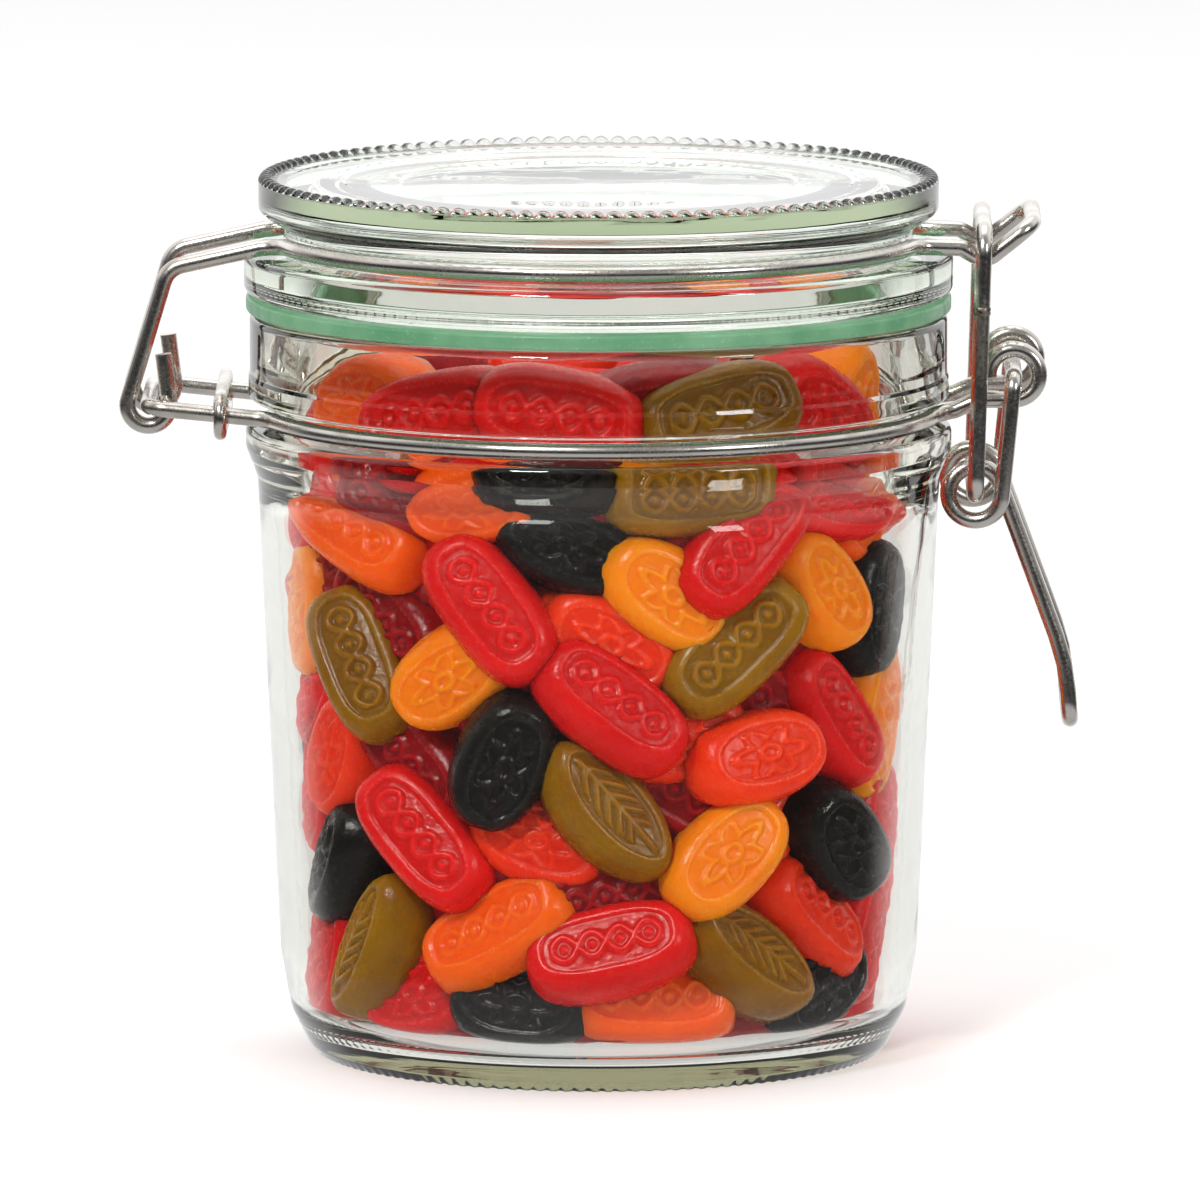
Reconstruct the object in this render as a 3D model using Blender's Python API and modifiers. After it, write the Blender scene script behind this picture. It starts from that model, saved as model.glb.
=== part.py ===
"""Jar of wine gums: a shut clip-top glass jar, full to the neck.

A tapered glass jar with a wire-grooved neck carries a rubber gasket and a hollow glass lid.
The lid's wire hooks round the hinge end of the neck wire on the left, and ends in a nose
on the right, where the latch's link pulls it down. The lever turns in the neck wire's two
eyes, and the link turns in the lever's two coils. The wine gums are one fused heap.

Metres, +Z up. The origin is on the jar's axis at the surface it stands on. The hinge is at
-X, the latch at +X, and the front of the jar faces -Y.
"""
import math
import random

import bmesh
import bpy
from mathutils import Matrix, Vector

MM = 0.001
GAP = 0.3 * MM                    # clearance between pieces that touch
TURNS = 40                        # sides of a turned piece

# Jar
RIM_TOP = 106.5 * MM
RIM_RADIUS = 49.9 * MM
RIM_BOTTOM = 98.0 * MM
SHOULDER_RADIUS = 50.1 * MM       # bulge between the rim band and the neck wire
NECK_WIRE_HEIGHT = 92.4 * MM
BEAD_RADIUS = 50.5 * MM           # bead under the neck wire
BEAD_HEIGHT = 88.6 * MM
BODY_TOP = 82.0 * MM
BODY_TOP_RADIUS = 48.8 * MM
BODY_FOOT = 15.0 * MM
BODY_FOOT_RADIUS = 45.7 * MM
FOOT_RADIUS = 40.5 * MM           # outer edge of the ring it stands on
FOOT_WIDTH = 3.0 * MM
WALL = 2.8 * MM
FLOOR = 4.0 * MM                  # height of the inside floor
FLOOR_BEND = 5.0 * MM             # radius between the floor and the wall, inside
NECK_INNER_RADIUS = 43.8 * MM
NECK_INNER_FOOT = 90.0 * MM

# Gasket
GASKET_TOP = 109.0 * MM
GASKET_RADIUS = 50.4 * MM
GASKET_INNER_RADIUS = 44.2 * MM

# Lid
LID_TOP = 126.3 * MM
LID_EDGE_RADIUS = 48.6 * MM
LID_EDGE_FOOT = 121.2 * MM
LID_WIRE_HEIGHT = 117.2 * MM
LID_FLANGE_RADIUS = 50.7 * MM
LID_FLANGE_TOP = 114.6 * MM
LID_INNER_RADIUS = 41.0 * MM
LID_PLATE = 3.2 * MM

# Wires
WIRE = 2.4 * MM                   # diameter
CLIP_WIRE = 1.9 * MM
BEND_STEP = math.radians(30)      # turn between two points of a wire's bend
PROFILE_STEP = math.radians(45)   # the same in a turned piece's profile
RING_STEP = math.radians(10)
LEAVE_BEND = 4.0 * MM             # reverse bend from a ring into its leg
LID_RING_RADIUS = 46.5 * MM
NECK_RING_RADIUS = 48.6 * MM

# Hinge side, as (x, z) places seen from the front
HINGE = Vector((-64.0 * MM, 0, 94.3 * MM))
HOOK_RADIUS = 3.0 * MM
HOOK_END = Vector((-61.9 * MM, 0, 101.6 * MM))
LEG_CORNER = Vector((-61.2 * MM, 0, 113.9 * MM))
LID_WIRE_Y = 11.6 * MM            # half the distance between the lid wire's two legs
PRONG_Y = 14.6 * MM               # half the distance between the neck wire's prongs
CLIP_X = -53.7 * MM

# Latch side
LEVER_PIVOT = Vector((59.2 * MM, 0, 98.5 * MM))
LINK_PIVOT = Vector((53.7 * MM, 0, 81.6 * MM))
LINK_TOP = Vector((54.9 * MM, 0, 119.7 * MM))
NOTCH = Vector((54.9 * MM, 0, 115.6 * MM))
NOTCH_WIDTH = 2.0 * MM
NOSE_TIP = Vector((61.9 * MM, 0, 120.4 * MM))
EYE_RADIUS = 3.6 * MM
EYE_Y = 9.6 * MM
COIL_RADIUS = 3.8 * MM
LEVER_Y = 12.4 * MM
HANDLE_Y = 9.6 * MM
HANDLE_KNEE = Vector((66.8 * MM, 0, 57.0 * MM))
HANDLE_END = Vector((67.4 * MM, 0, 48.6 * MM))
LINK_Y = 15.2 * MM

# Wine gums
GUM_SIZES = {"bar": (24.2 * MM, 13.2 * MM), "oval": (21.2 * MM, 13.8 * MM),
             "lens": (24.6 * MM, 13.4 * MM)}
GUM_THICKNESS = 9.4 * MM
GLASS_GAP = 0.5 * MM              # from a gum to the glass
CORE_RADIUS = 36.5 * MM
CORE_FOOT_RADIUS = 34.5 * MM
CORE_FOOT = 7.0 * MM
CORE_TOP = 88.0 * MM
FILL_TOP = 103.0 * MM             # no gum at the glass reaches higher
TOP_COUNT = 10                    # gums lying on top
TOP_REACH = 31.0 * MM
HEAP_DETAIL = 0.66                # share of the fused heap's faces that is kept
SEED = 11

# The gums behind follow a rule: rows of them round the rest of the glass, shuffled a little.
BACK_ROWS = 8
BACK_FOOT = 9.0 * MM              # height of the lowest row's middle
BACK_RISE = 80.0 * MM             # from there to the highest row's
BACK_COLUMNS = 5
BACK_SLOPES = (-50, -35, -15, 0, 10, 20, 40, 60)

# The gums that lie against the front of the glass: shape, bearing of the middle in degrees
# from the front towards the right, its height in mm, slope of the long axis in degrees
# (rising to the right is positive), and how far behind the glass it lies in mm.
FRONT_GUMS = [
    ("oval", -60, 95, 5, 2), ("bar", -35, 95, 12, 0.5), ("bar", -8, 96, -10, 1),
    ("bar", 16, 98, 5, 4), ("bar", 26, 96, 12, 0), ("oval", 55, 95, -30, 2),
    ("oval", 74, 94, 60, 3), ("bar", -49, 85, -15, 3), ("oval", -28, 84, 10, 4),
    ("oval", -11, 90, 0, 2), ("bar", 21, 86, 2, 1.5), ("bar", 60, 83, -12, 2),
    ("oval", 74, 82, 60, 1), ("bar", -60, 78, -24, 0), ("oval", -7, 78, -25, 5),
    ("bar", -22, 69, -52, 0), ("oval", 15, 71, -40, 4), ("bar", 31, 78, 48, 0),
    ("oval", 54, 70, -48, 2), ("bar", 30, 63, 43, 0.5), ("oval", 74, 66, 80, 1),
    ("bar", -72, 71, -25, 3), ("bar", -58, 59, -58, 0), ("oval", -32, 59, 35, 3),
    ("bar", 3, 55, -38, 0), ("oval", 3, 64, -30, 5.5), ("oval", -20, 47, 68, 0),
    ("lens", 2, 40, -50, 2), ("oval", -14, 35, -20, 5), ("oval", 35, 47, 8, 0.5),
    ("bar", 61, 51, -52, 1.5), ("bar", 77, 49, 85, 1), ("oval", 28, 33, 42, 0),
    ("oval", 62, 33, -48, 0), ("bar", 59, 22, -38, 3), ("bar", -40, 35, -45, 0),
    ("oval", -70, 45, 60, 1.5), ("oval", -72, 29, 55, 1), ("lens", -58, 18, 60, 2),
    ("bar", -23, 22, 30, 2), ("bar", 3, 20, 13, 0), ("lens", 35, 18, -38, 2),
    ("oval", -19, 10, -5, 4.5), ("bar", 14, 10, -2, 4), ("oval", -48, 9, 10, 4),
    ("oval", 63, 9, 22, 3), ("bar", -82, 55, 60, 0.5), ("bar", -84, 40, 75, 0.5),
    ("oval", -80, 16, 80, 0.5), ("oval", -84, 65, 85, 0), ("bar", -84, 83, 70, 0.5),
    ("oval", 80, 34, 80, 0.5), ("bar", 82, 20, 70, 0.5), ("bar", 76, 10, 30, 2),
]


def principled(name, colour, roughness, metallic=0.0, transmission=0.0):
    """Principled BSDF material of one colour."""
    material = bpy.data.materials.new(name)
    material.use_nodes = True
    shader = material.node_tree.nodes["Principled BSDF"]
    shader.inputs["Base Color"].default_value = (*colour, 1.0)
    shader.inputs["Roughness"].default_value = roughness
    shader.inputs["Metallic"].default_value = metallic
    shader.inputs["Transmission Weight"].default_value = transmission
    return material


def add_part(name, data, material, pivot=None):
    """Link an object to the jar's collection, and parent it to its pivot."""
    part = bpy.data.objects.new(name, data)
    parts.objects.link(part)
    data.materials.append(material)
    if pivot:
        part.parent = pivot
        part.matrix_parent_inverse = Matrix.Translation(-world_place(pivot))
    return part


def world_place(pivot):
    """Where a pivot is, through the pivots that carry it."""
    place = pivot.location.copy()
    while pivot.parent:
        pivot = pivot.parent
        place += pivot.location
    return place


def add_pivot(name, place, parent=None):
    """An empty on a joint's axis."""
    pivot = bpy.data.objects.new(name, None)
    pivot.empty_display_size = 5 * MM
    parts.objects.link(pivot)
    pivot.location = place - world_place(parent) if parent else place
    pivot.parent = parent
    return pivot


# ---------------------------------------------------------------- routes

def bend(corners, closed=False, step=BEND_STEP):
    """Points along straight runs whose corners, given as (place, bend radius), are arcs."""
    count = len(corners)
    points = []
    for i, (corner, radius) in enumerate(corners):
        is_end = not closed and i in (0, count - 1)
        if is_end or radius == 0:
            points.append(corner)
            continue
        back = (corners[i - 1][0] - corner).normalized()
        ahead = (corners[(i + 1) % count][0] - corner).normalized()
        turn = math.pi - back.angle(ahead)
        centre = corner + (back + ahead).normalized() * radius / math.cos(turn / 2)
        start = (corner + back * radius * math.tan(turn / 2) - centre).normalized()
        end = (corner + ahead * radius * math.tan(turn / 2) - centre).normalized()
        steps = max(1, round(turn / step))
        points += [centre + start.slerp(end, k / steps) * radius for k in range(steps + 1)]
    return points


def side_arc(centre, radius, first, last, y_first, y_last=None):
    """Points of an arc seen from the front, from one angle to another, in degrees.

    The arc may shift from y_first to y_last along its way.
    """
    y_last = y_first if y_last is None else y_last
    steps = max(1, round(math.radians(abs(last - first)) / BEND_STEP))
    points = []
    for k in range(steps + 1):
        share = k / steps
        angle = math.radians(first + (last - first) * share)
        points.append(Vector((centre.x + radius * math.cos(angle),
                              y_first + (y_last - y_first) * share,
                              centre.z + radius * math.sin(angle))))
    return points


def front_half_ring(radius, height, left, right):
    """The front half of a ring, from its left leg round to its right leg.

    left and right are (distance of the leg in front of the axis, rise over the bend). A
    reverse bend at each end turns the ring into a leg along X.
    """
    ends = []
    for side, (leg_y, rise) in ((-1, left), (1, right)):
        centre_y = leg_y + LEAVE_BEND
        centre_x = math.sqrt((radius + LEAVE_BEND) ** 2 - centre_y ** 2)
        off_axis = math.degrees(math.atan2(centre_y, centre_x))
        steps = 3
        arc = []
        for k in range(steps + 1):
            share = k / steps
            angle = math.radians(90 + (90 - off_axis) * share)
            arc.append(Vector((side * (centre_x + LEAVE_BEND * math.cos(angle)),
                               LEAVE_BEND * math.sin(angle) - centre_y,
                               height + rise * (1 - share))))
        ends.append((off_axis, arc))
    (off_left, left_arc), (off_right, right_arc) = ends
    first = math.radians(180 + off_left)
    last = math.radians(360 - off_right)
    steps = round((last - first) / RING_STEP)
    ring = []
    for k in range(1, steps):
        angle = first + (last - first) * k / steps
        ring.append(Vector((radius * math.cos(angle), radius * math.sin(angle), height)))
    return left_arc + ring + right_arc[::-1]


def at_y(place, y):
    """A place seen from the front, moved to a distance along Y."""
    return Vector((place.x, y, place.z))


def mirrored(points):
    """The same points behind the axis, in the opposite order."""
    return [Vector((p.x, -p.y, p.z)) for p in reversed(points)]


def tangent_angle(centre, radius, place, side):
    """Angle on a circle, in degrees, of the tangent that runs to a place."""
    way = place - centre
    swing = math.degrees(math.acos(radius / math.hypot(way.x, way.z)))
    return math.degrees(math.atan2(way.z, way.x)) + side * swing


def add_wire(name, points, diameter, material, closed=False, pivot=None):
    """A round wire along points."""
    curve = bpy.data.curves.new(name, "CURVE")
    curve.dimensions = "3D"
    curve.bevel_depth = diameter / 2
    curve.bevel_resolution = 2
    curve.resolution_u = 1
    curve.render_resolution_u = 0
    curve.use_fill_caps = not closed
    spline = curve.splines.new("POLY")
    spline.points.add(len(points) - 1)
    for point, place in zip(spline.points, points):
        point.co = (*place, 1.0)
    spline.use_cyclic_u = closed
    spline.use_smooth = True
    return add_part(name, curve, material, pivot)


# ---------------------------------------------------------------- turned pieces

def add_turned(name, corners, material, closed=False, pivot=None):
    """A turned piece from (radius, height, bend radius) corners, down its outer side."""
    profile = bend([(Vector((r, 0, z)), b) for r, z, b in corners], closed, PROFILE_STEP)
    mesh = bpy.data.meshes.new(name)
    edges = [(i, i + 1) for i in range(len(profile) - 1)]
    if closed:
        edges.append((len(profile) - 1, 0))
    mesh.from_pydata(profile, edges, [])
    part = add_part(name, mesh, material, pivot)
    screw = part.modifiers.new("Screw", "SCREW")
    screw.steps = TURNS
    screw.render_steps = TURNS
    screw.use_merge_vertices = True
    screw.merge_threshold = 0.01 * MM
    screw.use_smooth_shade = True
    return part


def add_jar():
    """The jar: rim band, wire groove, bead, tapered body and foot ring, with its inside."""
    wall_top = BODY_TOP_RADIUS - WALL
    wall_foot = BODY_FOOT_RADIUS - WALL
    groove = NECK_RING_RADIUS - WIRE / 2 - GAP
    corners = [
        (0, FLOOR, 0),
        (wall_foot - 0.4 * MM, FLOOR, FLOOR_BEND),
        (wall_foot, BODY_FOOT + 2 * MM, 0),
        (wall_top, BODY_TOP - 2 * MM, 0),
        (NECK_INNER_RADIUS, NECK_INNER_FOOT, 0),
        (NECK_INNER_RADIUS, RIM_TOP, 0.8 * MM),
        (RIM_RADIUS, RIM_TOP, 1.2 * MM),
        (RIM_RADIUS, RIM_BOTTOM, 0),
        (SHOULDER_RADIUS, RIM_BOTTOM - 0.6 * MM, 0),
        (SHOULDER_RADIUS, NECK_WIRE_HEIGHT + 2.1 * MM, 0),
        (groove, NECK_WIRE_HEIGHT + 1.4 * MM, 0),
        (groove, NECK_WIRE_HEIGHT - 1.4 * MM, 0),
        (BEAD_RADIUS, NECK_WIRE_HEIGHT - 2.2 * MM, 1.2 * MM),
        (BEAD_RADIUS, BEAD_HEIGHT - 1.2 * MM, 1.2 * MM),
        (BODY_TOP_RADIUS, BODY_TOP + 1.0 * MM, 0),
        (BODY_FOOT_RADIUS, BODY_FOOT, 0),
        (BODY_FOOT_RADIUS - 0.9 * MM, 9.6 * MM, 0),
        (FOOT_RADIUS + 3.6 * MM, 6.2 * MM, 0),
        (FOOT_RADIUS + 1.2 * MM, 1.4 * MM, 0),
        (FOOT_RADIUS, 0, 0),
        (FOOT_RADIUS - FOOT_WIDTH, 0, 0),
        (FOOT_RADIUS - FOOT_WIDTH - 1.5 * MM, 1.2 * MM, 0),
        (0, 1.8 * MM, 0),
    ]
    add_turned("jar", corners, principled("jar_glass", (0.93, 0.96, 0.95), 0.02, 0.0, 1.0))


def add_gasket():
    """The rubber ring between the jar's rim and the lid."""
    foot = RIM_TOP + GAP
    corners = [
        (GASKET_INNER_RADIUS, GASKET_TOP, 0),
        (GASKET_RADIUS, GASKET_TOP, 0.5 * MM),
        (GASKET_RADIUS, foot, 0.5 * MM),
        (GASKET_INNER_RADIUS, foot, 0),
    ]
    add_turned("gasket", corners, principled("green_rubber", (0.28, 0.58, 0.42), 0.45),
               closed=True)


def add_lid(pivot):
    """The glass lid: raised edge, wire groove and wide lower flange, hollow underneath."""
    groove = LID_RING_RADIUS - WIRE / 2 - GAP
    flange_foot = GASKET_TOP + GAP
    recess = LID_TOP - 1.4 * MM
    ceiling = recess - LID_PLATE
    corners = [
        (0, recess - 0.3 * MM, 0),
        (28.3 * MM, recess - 0.3 * MM, 0),
        (36.4 * MM, recess, 0),
        (44.6 * MM, recess, 0),
        (45.8 * MM, LID_TOP, 0.5 * MM),
        (LID_EDGE_RADIUS, LID_TOP, 1.0 * MM),
        (LID_EDGE_RADIUS, LID_EDGE_FOOT, 1.2 * MM),
        (groove, LID_WIRE_HEIGHT + 1.6 * MM, 0),
        (groove, LID_WIRE_HEIGHT - 1.6 * MM, 0),
        (LID_FLANGE_RADIUS, LID_FLANGE_TOP, 1.2 * MM),
        (LID_FLANGE_RADIUS, flange_foot, 1.4 * MM),
        (GASKET_INNER_RADIUS, flange_foot, 0),
        (LID_INNER_RADIUS, flange_foot + 1.2 * MM, 1.2 * MM),
        (LID_INNER_RADIUS, ceiling, 3.0 * MM),
        (0, ceiling + 0.5 * MM, 0),
    ]
    add_turned("lid", corners, principled("lid_glass", (0.86, 0.94, 0.89), 0.02, 0.0, 1.0),
               pivot=pivot)


# ---------------------------------------------------------------- wires

def add_neck_wire(steel):
    """Ring in the jar's groove, with a pronged loop at the hinge and an eye at each end."""
    eye = side_arc(LEVER_PIVOT, EYE_RADIUS, 185, -90, -EYE_Y)
    eye_foot = LEVER_PIVOT.z - EYE_RADIUS
    ring = front_half_ring(NECK_RING_RADIUS, NECK_WIRE_HEIGHT,
                           (PRONG_Y, 0.4 * MM), (EYE_Y, 1.0 * MM))
    loop = bend([(ring[0], 0), (at_y(HINGE, -PRONG_Y), 2.6 * MM),
                 (at_y(HINGE, PRONG_Y), 2.6 * MM), (mirrored(ring)[-1], 0)])[1:-1]
    rise = Vector((LEVER_PIVOT.x - EYE_RADIUS - 1.4 * MM, -EYE_Y, eye_foot))
    front = [*eye, *bend([(eye[-1], 0), (rise, 6 * MM), (ring[-1], 0)])[1:-1], *ring[::-1]]
    add_wire("neck_wire", front + loop + mirrored(front), WIRE, steel)


def add_clip_ring(steel):
    """The oblong ring that holds the neck wire's two prongs together."""
    share = (CLIP_X + NECK_RING_RADIUS) / (HINGE.x + NECK_RING_RADIUS)
    height = NECK_WIRE_HEIGHT + (HINGE.z - NECK_WIRE_HEIGHT) * share
    half_height = (WIRE + CLIP_WIRE) / 2 + GAP
    half_width = PRONG_Y + half_height
    corners = [(Vector((CLIP_X, y * half_width, height + z * half_height)), 2.3 * MM)
               for y, z in ((-1, -1), (-1, 1), (1, 1), (1, -1))]
    add_wire("clip_ring", bend(corners, closed=True), CLIP_WIRE, steel, closed=True)


def add_lid_wire(steel, pivot):
    """Ring in the lid's groove, with two hooked legs at the hinge and a nose at the latch."""
    leg_angle = tangent_angle(HINGE, HOOK_RADIUS, LEG_CORNER, 1)
    end_angle = tangent_angle(HINGE, HOOK_RADIUS, HOOK_END, -1)
    hook = side_arc(HINGE, HOOK_RADIUS, end_angle + 360, leg_angle, -LID_WIRE_Y)
    ring = front_half_ring(LID_RING_RADIUS, LID_WIRE_HEIGHT,
                           (LID_WIRE_Y, -0.4 * MM), (LID_WIRE_Y, -0.2 * MM))
    leg = bend([(hook[-1], 0), (at_y(LEG_CORNER, -LID_WIRE_Y), 3.5 * MM), (ring[0], 0)])
    half_notch = Vector((NOTCH_WIDTH / 2, 0, 0))
    shoulder = Vector((NOTCH.x - 3.2 * MM, 0, LID_WIRE_HEIGHT - 0.3 * MM))
    nose = bend([(ring[-1], 0),
                 (at_y(shoulder, -LID_WIRE_Y), 1.5 * MM),
                 (at_y(NOTCH - half_notch, -LID_WIRE_Y), 1.5 * MM),
                 (at_y(NOTCH + half_notch, -LID_WIRE_Y), 1.5 * MM),
                 (at_y(NOSE_TIP, -LID_WIRE_Y), 3.0 * MM),
                 (at_y(NOSE_TIP, 0), 0)])
    front = [at_y(HOOK_END, -LID_WIRE_Y), *hook, *leg[1:-1], *ring, *nose[1:-1]]
    add_wire("lid_wire", front + mirrored(front), WIRE, steel, pivot=pivot)


def add_lever(steel, pivot):
    """The lever: a closed loop of wire with a coil in each leg and a handle below."""
    first = tangent_angle(LINK_PIVOT, COIL_RADIUS, LEVER_PIVOT, -1)
    last = tangent_angle(LINK_PIVOT, COIL_RADIUS, HANDLE_KNEE, 1) - 360
    coil = side_arc(LINK_PIVOT, COIL_RADIUS, first, last, -LEVER_Y, -HANDLE_Y)
    top = bend([(at_y(LEVER_PIVOT, 0), 0), (at_y(LEVER_PIVOT, -LEVER_Y), 2.2 * MM),
                (coil[0], 0)])
    handle = bend([(coil[-1], 0), (at_y(HANDLE_KNEE, -HANDLE_Y), 30 * MM),
                   (at_y(HANDLE_END, -HANDLE_Y), 3.0 * MM), (at_y(HANDLE_END, 0), 0)])
    front = [*top[1:-1], *coil, *handle[1:-1]]
    add_wire("latch_lever", front + mirrored(front), WIRE, steel, closed=True, pivot=pivot)


def add_link(steel, pivot):
    """The link: an oblong loop from the lever's coils up over the lid wire's notch."""
    corners = [(at_y(LINK_PIVOT, -LINK_Y), 3.0 * MM), (at_y(LINK_TOP, -LINK_Y), 3.6 * MM),
               (at_y(LINK_TOP, LINK_Y), 3.6 * MM), (at_y(LINK_PIVOT, LINK_Y), 3.0 * MM)]
    add_wire("latch_link", bend(corners, closed=True), WIRE, steel, closed=True, pivot=pivot)


# ---------------------------------------------------------------- wine gums

def room_inside(height):
    """Radius that a wine gum may reach at a height."""
    if height < FLOOR + FLOOR_BEND:
        rise = FLOOR + FLOOR_BEND - max(height, FLOOR)
        room = BODY_FOOT_RADIUS - WALL - 0.6 * MM - FLOOR_BEND
        return room + math.sqrt(max(0.0, FLOOR_BEND ** 2 - rise ** 2)) - GLASS_GAP
    if height < BODY_TOP - 2 * MM:
        share = (height - BODY_FOOT) / (BODY_TOP - BODY_FOOT)
        wide = BODY_FOOT_RADIUS + (BODY_TOP_RADIUS - BODY_FOOT_RADIUS) * share
        return wide - WALL - GLASS_GAP
    share = min(1.0, (height - BODY_TOP + 2 * MM) / (NECK_INNER_FOOT - BODY_TOP + 2 * MM))
    wide = BODY_TOP_RADIUS - WALL
    return wide + (NECK_INNER_RADIUS - wide) * share - GLASS_GAP


def gum_mesh(shape, columns=8, rows=4):
    """A wine gum about its middle: long in X, wide in Y, moulded face towards +Z."""
    length, width = GUM_SIZES[shape]
    gum = bmesh.new()
    bmesh.ops.create_uvsphere(gum, u_segments=columns, v_segments=rows, radius=1.0)
    for vertex in gum.verts:
        x, y, z = vertex.co
        round_out = math.hypot(x, y)
        if round_out < 1e-6:
            vertex.co = (0, 0, math.copysign(0.45 * GUM_THICKNESS, z))
            continue
        along, across = x / round_out, y / round_out
        if shape == "bar":
            along = math.copysign(abs(along) ** 0.75, along)
            across = math.copysign(abs(across) ** 0.6, across)
        if shape == "lens":
            across = math.copysign(abs(across) ** 1.3, across)
        up = math.copysign(abs(z) ** 0.35, z)
        spread = round_out ** 0.42 * (1 - 0.05 * up)
        vertex.co = (along * spread * length / 2, across * spread * width / 2,
                     up * GUM_THICKNESS / 2)
    return gum


def against_glass(gum, bearing, height, slope, depth):
    """Placement of a wine gum that lies flat to the glass.

    bearing is the angle round the axis from the front towards the right, and slope is that
    of the long axis; depth is how far behind the glass it stays.
    """
    outward = Vector((math.sin(bearing), -math.cos(bearing), 0))
    along = Vector((math.cos(bearing), math.sin(bearing), 0))
    long_way = along * math.cos(slope) + Vector((0, 0, math.sin(slope)))
    turn = Matrix((long_way, outward.cross(long_way), outward)).transposed()
    places = [turn @ vertex.co for vertex in gum.verts]
    height = max(height, FLOOR + GLASS_GAP - min(p.z for p in places))
    height = min(height, FILL_TOP - max(p.z for p in places))
    middle = outward * SHOULDER_RADIUS + Vector((0, 0, height))
    over = 0.0
    for place in places:
        reach = middle + place
        room = room_inside(reach.z)
        sideways = reach.dot(along)
        inward = reach.dot(outward) - math.sqrt(max(0.0, room ** 2 - sideways ** 2))
        over = max(over, inward)
    return Matrix.Translation(middle - outward * (over + depth)) @ turn.to_4x4()


def gum_places(gums):
    """(shape, placement) of every wine gum that shows."""
    draw = random.Random(SEED)
    places = []
    for shape, bearing, height, slope, depth in FRONT_GUMS:
        places.append((shape, against_glass(gums[shape], math.radians(bearing), height * MM,
                                            math.radians(slope), depth * MM)))
    for row in range(BACK_ROWS):
        for k in range(BACK_COLUMNS):
            share = (k + 0.5 * (row % 2) + draw.uniform(0.1, 0.4)) / BACK_COLUMNS
            bearing = math.radians(95 + 170 * share)
            height = BACK_FOOT + BACK_RISE * row / (BACK_ROWS - 1) + draw.uniform(-2, 2) * MM
            slope = math.radians(draw.choice(BACK_SLOPES))
            shape = draw.choice(("bar", "bar", "oval", "oval", "lens"))
            depth = draw.choice((0, 0.5, 2)) * MM
            places.append((shape, against_glass(gums[shape], bearing, height, slope, depth)))
    return places


def top_places():
    """(shape, placement) of the wine gums that lie on top of the heap."""
    draw = random.Random(SEED + 1)
    places = []
    for k in range(TOP_COUNT):
        angle = k * math.radians(137.5)
        reach = TOP_REACH * math.sqrt((k + 0.3) / TOP_COUNT)
        lean = Matrix.Rotation(math.radians(draw.uniform(-18, 18)), 4, "X")
        spin = Matrix.Rotation(math.radians(draw.uniform(0, 360)), 4, "Z")
        place = Vector((reach * math.cos(angle), reach * math.sin(angle),
                        CORE_TOP + draw.uniform(1, 4) * MM))
        shape = draw.choice(("bar", "oval", "lens"))
        places.append((shape, Matrix.Translation(place) @ spin @ lean))
    return places


def add_wine_gums():
    """The heap of wine gums: a plain core with the gums that show fused on."""
    pieces = bpy.data.collections.new("gum_pieces")
    bpy.context.scene.collection.children.link(pieces)
    gums = {shape: gum_mesh(shape) for shape in GUM_SIZES}
    meshes = {}
    for shape, gum in gums.items():
        meshes[shape] = bpy.data.meshes.new("gum_" + shape)
        gum.to_mesh(meshes[shape])
    for shape, place in gum_places(gums) + top_places():
        piece = bpy.data.objects.new("gum", meshes[shape])
        pieces.objects.link(piece)
        piece.matrix_world = place
    core = bmesh.new()
    bmesh.ops.create_cone(core, cap_ends=True, segments=24, radius1=CORE_FOOT_RADIUS,
                          radius2=CORE_RADIUS, depth=CORE_TOP - CORE_FOOT)
    bmesh.ops.translate(core, verts=core.verts, vec=(0, 0, (CORE_TOP + CORE_FOOT) / 2))
    mesh = bpy.data.meshes.new("wine_gums")
    core.to_mesh(mesh)
    heap = add_part("wine_gums", mesh, principled("wine_gums", (0.62, 0.03, 0.02), 0.35))
    union = heap.modifiers.new("Union", "BOOLEAN")
    union.operation = "UNION"
    union.operand_type = "COLLECTION"
    union.collection = pieces
    union.solver = "MANIFOLD"
    bpy.context.view_layer.update()
    evaluated = heap.evaluated_get(bpy.context.evaluated_depsgraph_get())
    fused = bpy.data.meshes.new_from_object(evaluated)
    heap.modifiers.remove(union)
    heap.data = fused
    keep_largest(fused)
    coarser = heap.modifiers.new("Decimate", "DECIMATE")
    coarser.ratio = HEAP_DETAIL
    for piece in list(pieces.objects):
        bpy.data.objects.remove(piece)
    bpy.data.collections.remove(pieces)


def keep_largest(mesh):
    """Drop sealed hollows and loose scraps in a fused mesh."""
    body = bmesh.new()
    body.from_mesh(mesh)
    islands = []
    waiting = set(body.verts)
    while waiting:
        island = {waiting.pop()}
        edge_of = list(island)
        while edge_of:
            for edge in edge_of.pop().link_edges:
                for vertex in edge.verts:
                    if vertex not in island:
                        island.add(vertex)
                        edge_of.append(vertex)
        waiting -= island
        islands.append(island)
    largest = max(islands, key=len)
    bmesh.ops.delete(body, geom=[v for v in body.verts if v not in largest],
                     context="VERTS")
    bmesh.ops.triangulate(body, faces=body.faces)
    body.to_mesh(mesh)


for old in list(bpy.data.objects):
    bpy.data.objects.remove(old)
parts = bpy.data.collections.new("jar_of_wine_gums")
bpy.context.scene.collection.children.link(parts)

lid_hinge = add_pivot("lid_hinge", HINGE)
lever_pivot = add_pivot("lever_pivot", LEVER_PIVOT)
link_pivot = add_pivot("link_pivot", LINK_PIVOT, lever_pivot)
steel_wire = principled("steel_wire", (0.62, 0.60, 0.57), 0.18, 1.0)

add_jar()
add_gasket()
add_lid(lid_hinge)
add_neck_wire(steel_wire)
add_clip_ring(steel_wire)
add_lid_wire(steel_wire, lid_hinge)
add_lever(steel_wire, lever_pivot)
add_link(steel_wire, link_pivot)
add_wine_gums()
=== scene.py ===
import math
import random

import bmesh
import bpy
import numpy as np
from mathutils import Matrix, Vector


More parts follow.
